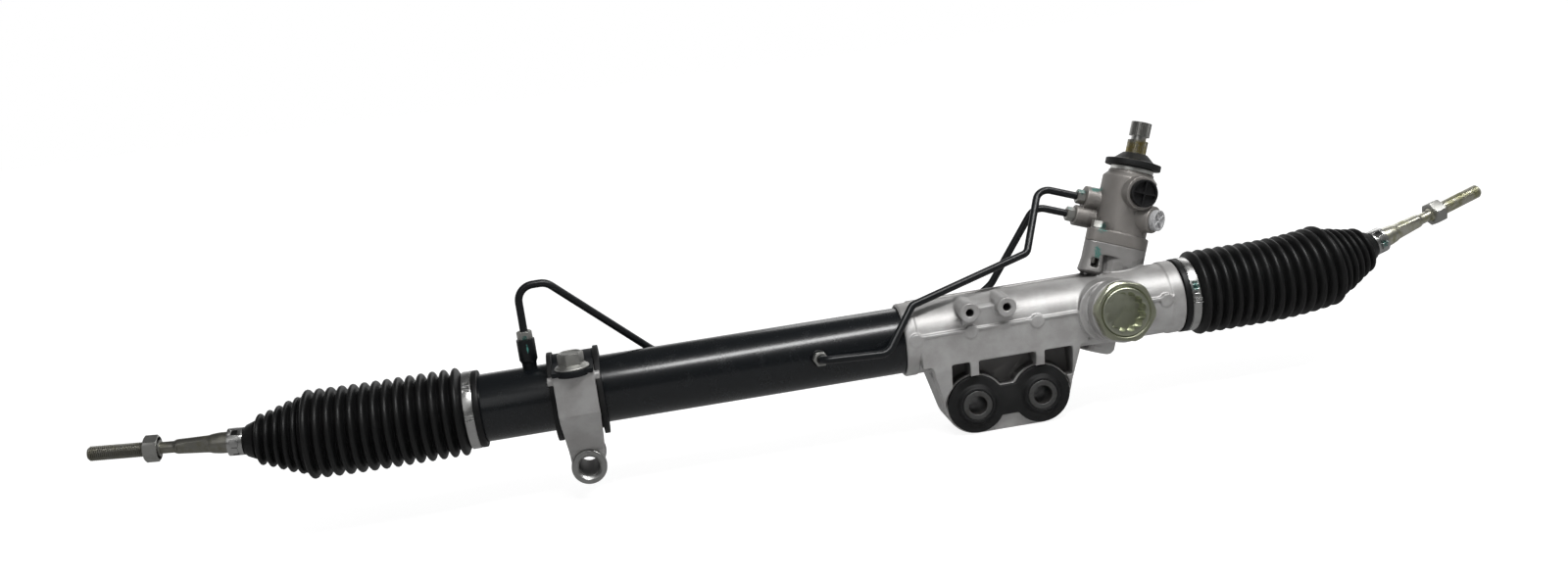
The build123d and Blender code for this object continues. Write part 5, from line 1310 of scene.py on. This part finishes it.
@dataclass
class BootBands:
    """Crimped steel band at the housing and ear clip at the rod."""

    side: Side
    radius: float = 30.35
    thick: float = 1.0
    lap: float = 60.0
    holes: tuple[float, ...] = (0.62, 0.74, 0.86)
    clip_radius: float = 10.45

    @staticmethod
    def hoop(line: Line, start: float, width: float, radius: float, thick: float, steps: int) -> Piece:
        """Plain closed hoop with rounded edges."""
        outline = ring(start, start + width, radius, radius + thick)
        return spun("hoop", line, rounded(outline, 0.3, 2, True), steps)

    @staticmethod
    def tab(line: Line, station: float, radius: float, angle: float, size: tuple[float, ...]) -> Piece:
        """Block on a hoop: its width along the line, its length round it and its height."""
        turn = line.matrix(station, angle) @ Matrix.Translation((radius * MM, 0, 0))
        return block("tab", turn, size[::-1], 0.25 * min(1.0, size[2]))

    def overlap(self, line: Line, start: float, angle: float) -> Piece:
        """Outer end of the strap, lapped over the hoop from an angle on."""
        crest = self.radius + self.thick
        lap = self.hoop(line, start + 0.35, BAND_WIDTH - 0.7, crest, 0.8, 96)
        for sign, edge in ((1, angle + self.lap), (-1, angle)):
            ray = line.point(0, 1.0, math.radians(edge)) - line.point(0)
            slice_off(lap, line.point(0), sign * line.along.cross(ray))
        for share in self.holes:
            place = angle + share * self.lap
            carve(lap, self.tab(line, start + BAND_WIDTH / 2, crest, place, (3.0, 1.9, 4.0)))
        return lap

    def build(self, shop: Workshop) -> None:
        """Builds the band and the clip."""
        hand = self.side.hand
        start = HOUSING_HALF - BAND_GAP - BAND_WIDTH
        middle = start + BAND_WIDTH / 2
        line = self.side.end
        up = -self.side.sign
        crest = self.radius + self.thick
        pieces = [
            self.hoop(line, start, BAND_WIDTH, self.radius, self.thick, 96),
            self.overlap(line, start, 6.0 if up > 0 else -66.0),
            self.tab(line, middle, crest + 1.2, up * 4.0, (BAND_WIDTH - 1.0, 2.6, 2.6)),
            self.tab(line, middle, crest + 1.4, -up * 1.0, (BAND_WIDTH - 0.4, 0.9, 3.6)),
            self.tab(line, middle, crest + 0.5, -up * 8.0, (BAND_WIDTH - 2.4, 8.0, 1.0)),
        ]
        shop.place(joined(f"{hand}_band_strap", pieces), BAND_STEEL, f"{hand}_boot_band")
        body = Body[f"{hand.upper()}_ROD"]
        shop.place(self.clip(), BAND_STEEL, f"{hand}_boot_clip", body=body)

    def clip(self) -> Piece:
        """Ear clip on the boot's neck."""
        rod = self.side.rod
        radius = self.clip_radius
        middle = CLIP_START + CLIP_WIDTH / 2
        front = math.degrees(math.atan2(FRONT.dot(rod.third), FRONT.dot(rod.side)))
        hoop = self.hoop(rod, CLIP_START, CLIP_WIDTH, radius, 0.8, 64)
        for offset in (58.0, -52.0):
            carve(hoop, self.tab(rod, middle, radius, front + offset, (5.0, 5.4, 4.0)))
        ear = self.tab(rod, middle, radius + 1.5, front + 8.0, (6.5, 6.0, 2.4))
        modify(ear, "BEVEL", width=0.7 * MM, segments=3, limit_method="ANGLE")
        tongue = self.tab(rod, middle, radius + 1.1, front - 24.0, (4.6, 6.0, 0.9))
        return joined(f"{self.side.hand}_clip_strap", [hoop, smooth(ear), tongue])


@dataclass
class AxialRod:
    """Axial rod with its ball, wrench flats, neck and thread, and the jam nut."""

    side: Side
    finish: Metal
    ball: float = 11.5
    shank: float = 6.6
    thread: float = 6.0
    pitch: float = 1.5
    groove: float = 0.9
    thread_start: float = 126.2
    length: float = 181.0
    flats: float = 10.2
    flats_middle: float = 100.0
    nut_span: tuple[float, float] = (126.5, 137.5)
    nut_flats: float = 19.0

    NECK = (
        (24, 6.6), (40, 8.7), (79, 8.6), (85, 7.9), (88, 7.0), (113, 5.9), (115, 4.75), (125.6, 4.75),
    )

    def build(self, shop: Workshop) -> None:
        """Builds the rod and its nut."""
        hand = self.side.hand
        body = Body[f"{hand.upper()}_ROD"]
        line = self.side.rod
        spots: Profile = []
        for step in range(13):
            angle = math.pi - step / 12 * (math.pi - math.asin(self.shank / self.ball))
            spots.append((self.ball * math.cos(angle), self.ball * math.sin(angle)))
        spots += rounded([spots[-1], *self.NECK], 1.2)[1:]
        step = self.pitch / 8
        count = int((self.length - 1.2 - self.thread_start) / step)
        spots += [(self.thread_start + k * step, self.thread) for k in range(count)]
        spots += [(self.length - 0.8, self.thread - self.groove), (self.length, self.thread - 1.6)]
        rod = spun(f"{hand}_rod_turned", line, [*spots, (self.length, 0.0)], 40)
        self.cut_thread(rod, line)
        for way in (-1, 1):
            out = Matrix.Translation((way * (self.flats / 2 + 3.0) * MM, 0, 0))
            frame = line.matrix(self.flats_middle) @ out
            carve(rod, block("cutter", frame, (6.0, 20.0, 24.0), 0.0))
        shop.place(smooth(rod, 40.0), self.finish, f"{hand}_tie_rod", body=body)
        bore = self.thread + 0.05
        nut = hex_nut(f"{hand}_jam_nut_plated", line, *self.nut_span, self.nut_flats, bore, 12.0)
        shop.place(nut, BOLT_ZINC, f"{hand}_jam_nut", body=body)

    def cut_thread(self, rod: Piece, line: Line) -> None:
        """Moves the vertices of the threaded length onto a helix."""
        last = self.length - 1.0
        for vertex in rod.data.vertices:
            station, ahead, aside = line.parts(vertex.co)
            if not self.thread_start + 0.2 < station < last or math.hypot(ahead, aside) < 3:
                continue
            angle = math.atan2(aside, ahead)
            phase = (station / self.pitch - angle / (2 * math.pi)) % 1.0
            height = min(max(1.6 * abs(2 * phase - 1) - 0.3, 0.0), 1.0)
            ramp = min(1.0, (last - station) / 1.5 + 0.2)
            radius = self.thread - self.groove * (1 - height) * ramp
            vertex.co = line.point(station, radius, angle)


@dataclass
class KeptNodes:
    """Nodes that keep their CAD shape and only get a finish."""

    def build(self, shop: Workshop) -> None:
        """Dresses the kept nodes."""
        for finish, nodes in (
            (STEEL, "rack_bar piston pinion_gear valve_sleeve torsion_bar bar_lower_pin bar_upper_pin"),
            (STEEL, "left_ball_socket right_ball_socket left_lock_washer right_lock_washer yoke_spring"),
            (STEEL, "pinion_lower_bearing pinion_upper_bearing pinion_retainer valve_needle_bearing"),
            (STEEL, "cylinder_end_bush"),
            (BLACK_PLASTIC, "rack_bush yoke_pad piston_ring sleeve_rings left_ball_seat right_ball_seat"),
            (RUBBER, "valve_seal rack_inner_seal rack_outer_seal"),
            (CAST, "rack_yoke"),
            (SPLINE_STEEL, "input_shaft"),
            (PIPE_PAINT, "front_port_fitting"),
        ):
            for node in nodes.split():
                shop.keep(node, finish)


@dataclass
class Studio:
    """Pale floor, white surroundings, soft lamps and the camera."""

    floor_height: float = -26.6
    eye: Triple = (-278.0, -1173.0, 362.3)
    right: Triple = (0.9819, -0.1361, -0.1307)
    ahead: Triple = (0.108, 0.9735, -0.2016)
    lens: float = 33.075
    room: float = 0.09
    room_edge: float = -0.1
    ambient: float = 0.52
    floor_share: float = 0.70
    floor_glow: float = 1.24
    floor_mirror: float = 0.3

    def build(self) -> None:
        """Sets the stage."""
        self.floor()
        self.world()
        self.lamp("top_softbox", (0.3, -0.55, 1.18), (0.15, 0.0, 0.05), (1.4, 0.2), 20.0)
        self.lamp("front_fill", (-1.3, -1.7, 1.2), (-0.1, 0.0, 0.05), (1.2, 1.2), 3.0)
        self.lamp("back_rim", (0.8, 1.6, 1.1), (0.0, 0.0, 0.05), (1.6, 0.6), 6.0)
        self.camera()

    def floor(self) -> None:
        """Pale floor that shows white and keeps the shadow."""
        place = (0, 0, self.floor_height * MM)
        floor = settle(added(bpy.ops.mesh.primitive_plane_add, size=14.0, location=place), "studio_floor")
        graph = Graph("studio_floor_white")
        graph.set(Base_Color=grey(0.9), Roughness=1.0, Specular_IOR_Level=0.0)
        seen, mirrored = graph.rays()
        strength = seen * self.floor_glow + mirrored * self.floor_mirror
        glow = graph.node("ShaderNodeEmission", {}, {"Color": grey(1.0), "Strength": strength})
        plain = Socket(graph, graph.shader.outputs[0])
        share = seen * self.floor_share + mirrored
        mixed = graph.node("ShaderNodeMixShader", {}, {0: share, 1: plain, 2: glow})
        graph.feed(graph.tree.nodes["Material Output"].inputs["Surface"], mixed)
        floor.data.materials.append(graph.material)

    def world(self) -> None:
        """White to the camera, a white backdrop and a grey room in reflections, soft grey as light."""
        world = bpy.data.worlds.new("studio_world")
        bpy.context.scene.world = world
        world.use_nodes = True
        world.node_tree.nodes.clear()
        graph = Graph.of_tree(world.node_tree)
        seen, mirrored = graph.rays()
        _, depth, height = graph.axes(graph.node("ShaderNodeTexCoord", {}, {}, "Generated"))
        screen = depth.above(self.room_edge, self.room_edge + 0.6) * (1.0 - height.above(0.12, 0.5))
        backdrop = screen * (1.0 - self.room) + self.room
        strength = seen + mirrored * backdrop + (1.0 - seen - mirrored) * self.ambient
        glow = graph.node("ShaderNodeBackground", {}, {"Color": grey(1.0), "Strength": strength})
        out = graph.tree.nodes.new("ShaderNodeOutputWorld")
        graph.feed(out.inputs["Surface"], glow)

    @staticmethod
    def lamp(name: str, place: Triple, target: Triple, size: tuple[float, float], power: float) -> None:
        """Adds one area lamp that faces its target."""
        lamp = added(bpy.ops.object.light_add, type="AREA", location=place)
        lamp.name = name
        lamp.data.shape = "RECTANGLE"
        lamp.data.size, lamp.data.size_y = size
        lamp.data.energy = power
        lamp.rotation_euler = (Vector(target) - Vector(place)).to_track_quat("-Z", "Y").to_euler()

    def camera(self) -> None:
        """Camera at the photograph's viewpoint."""
        camera = added(bpy.ops.object.camera_add)
        right = Vector(self.right).normalized()
        ahead = Vector(self.ahead).normalized()
        right = (right - ahead * right.dot(ahead)).normalized()
        up = right.cross(ahead)
        turn = Matrix((right, up, -ahead)).transposed().to_4x4()
        camera.matrix_world = Matrix.Translation(Vector(self.eye) * MM) @ turn
        camera.data.lens = self.lens
        camera.data.sensor_width = 36.0
        camera.data.clip_start = 0.01
        bpy.context.scene.camera = camera


def main() -> None:
    """Builds the whole scene."""
    logging.basicConfig(level=logging.INFO, format="%(message)s")
    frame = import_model()
    bpy.context.scene.view_settings.view_transform = "Standard"
    shop = Workshop(frame["nodes"])
    assemblies = [Cylinder(), Castings(), DoubleMount(), YokeEnd(), TubeClamp()]
    assemblies += [PressureLines(), ValveTop(), KeptNodes()]
    for side, finish in zip(SIDES, (ROD_STEEL, BRIGHT_ROD_STEEL)):
        assemblies += [Bellows(side), BootBands(side), AxialRod(side, finish)]
    for assembly in assemblies:
        LOG.info("building %s", type(assembly).__name__)
        assembly.build(shop)
    Studio().build()


if __name__ == "__main__":
    main()
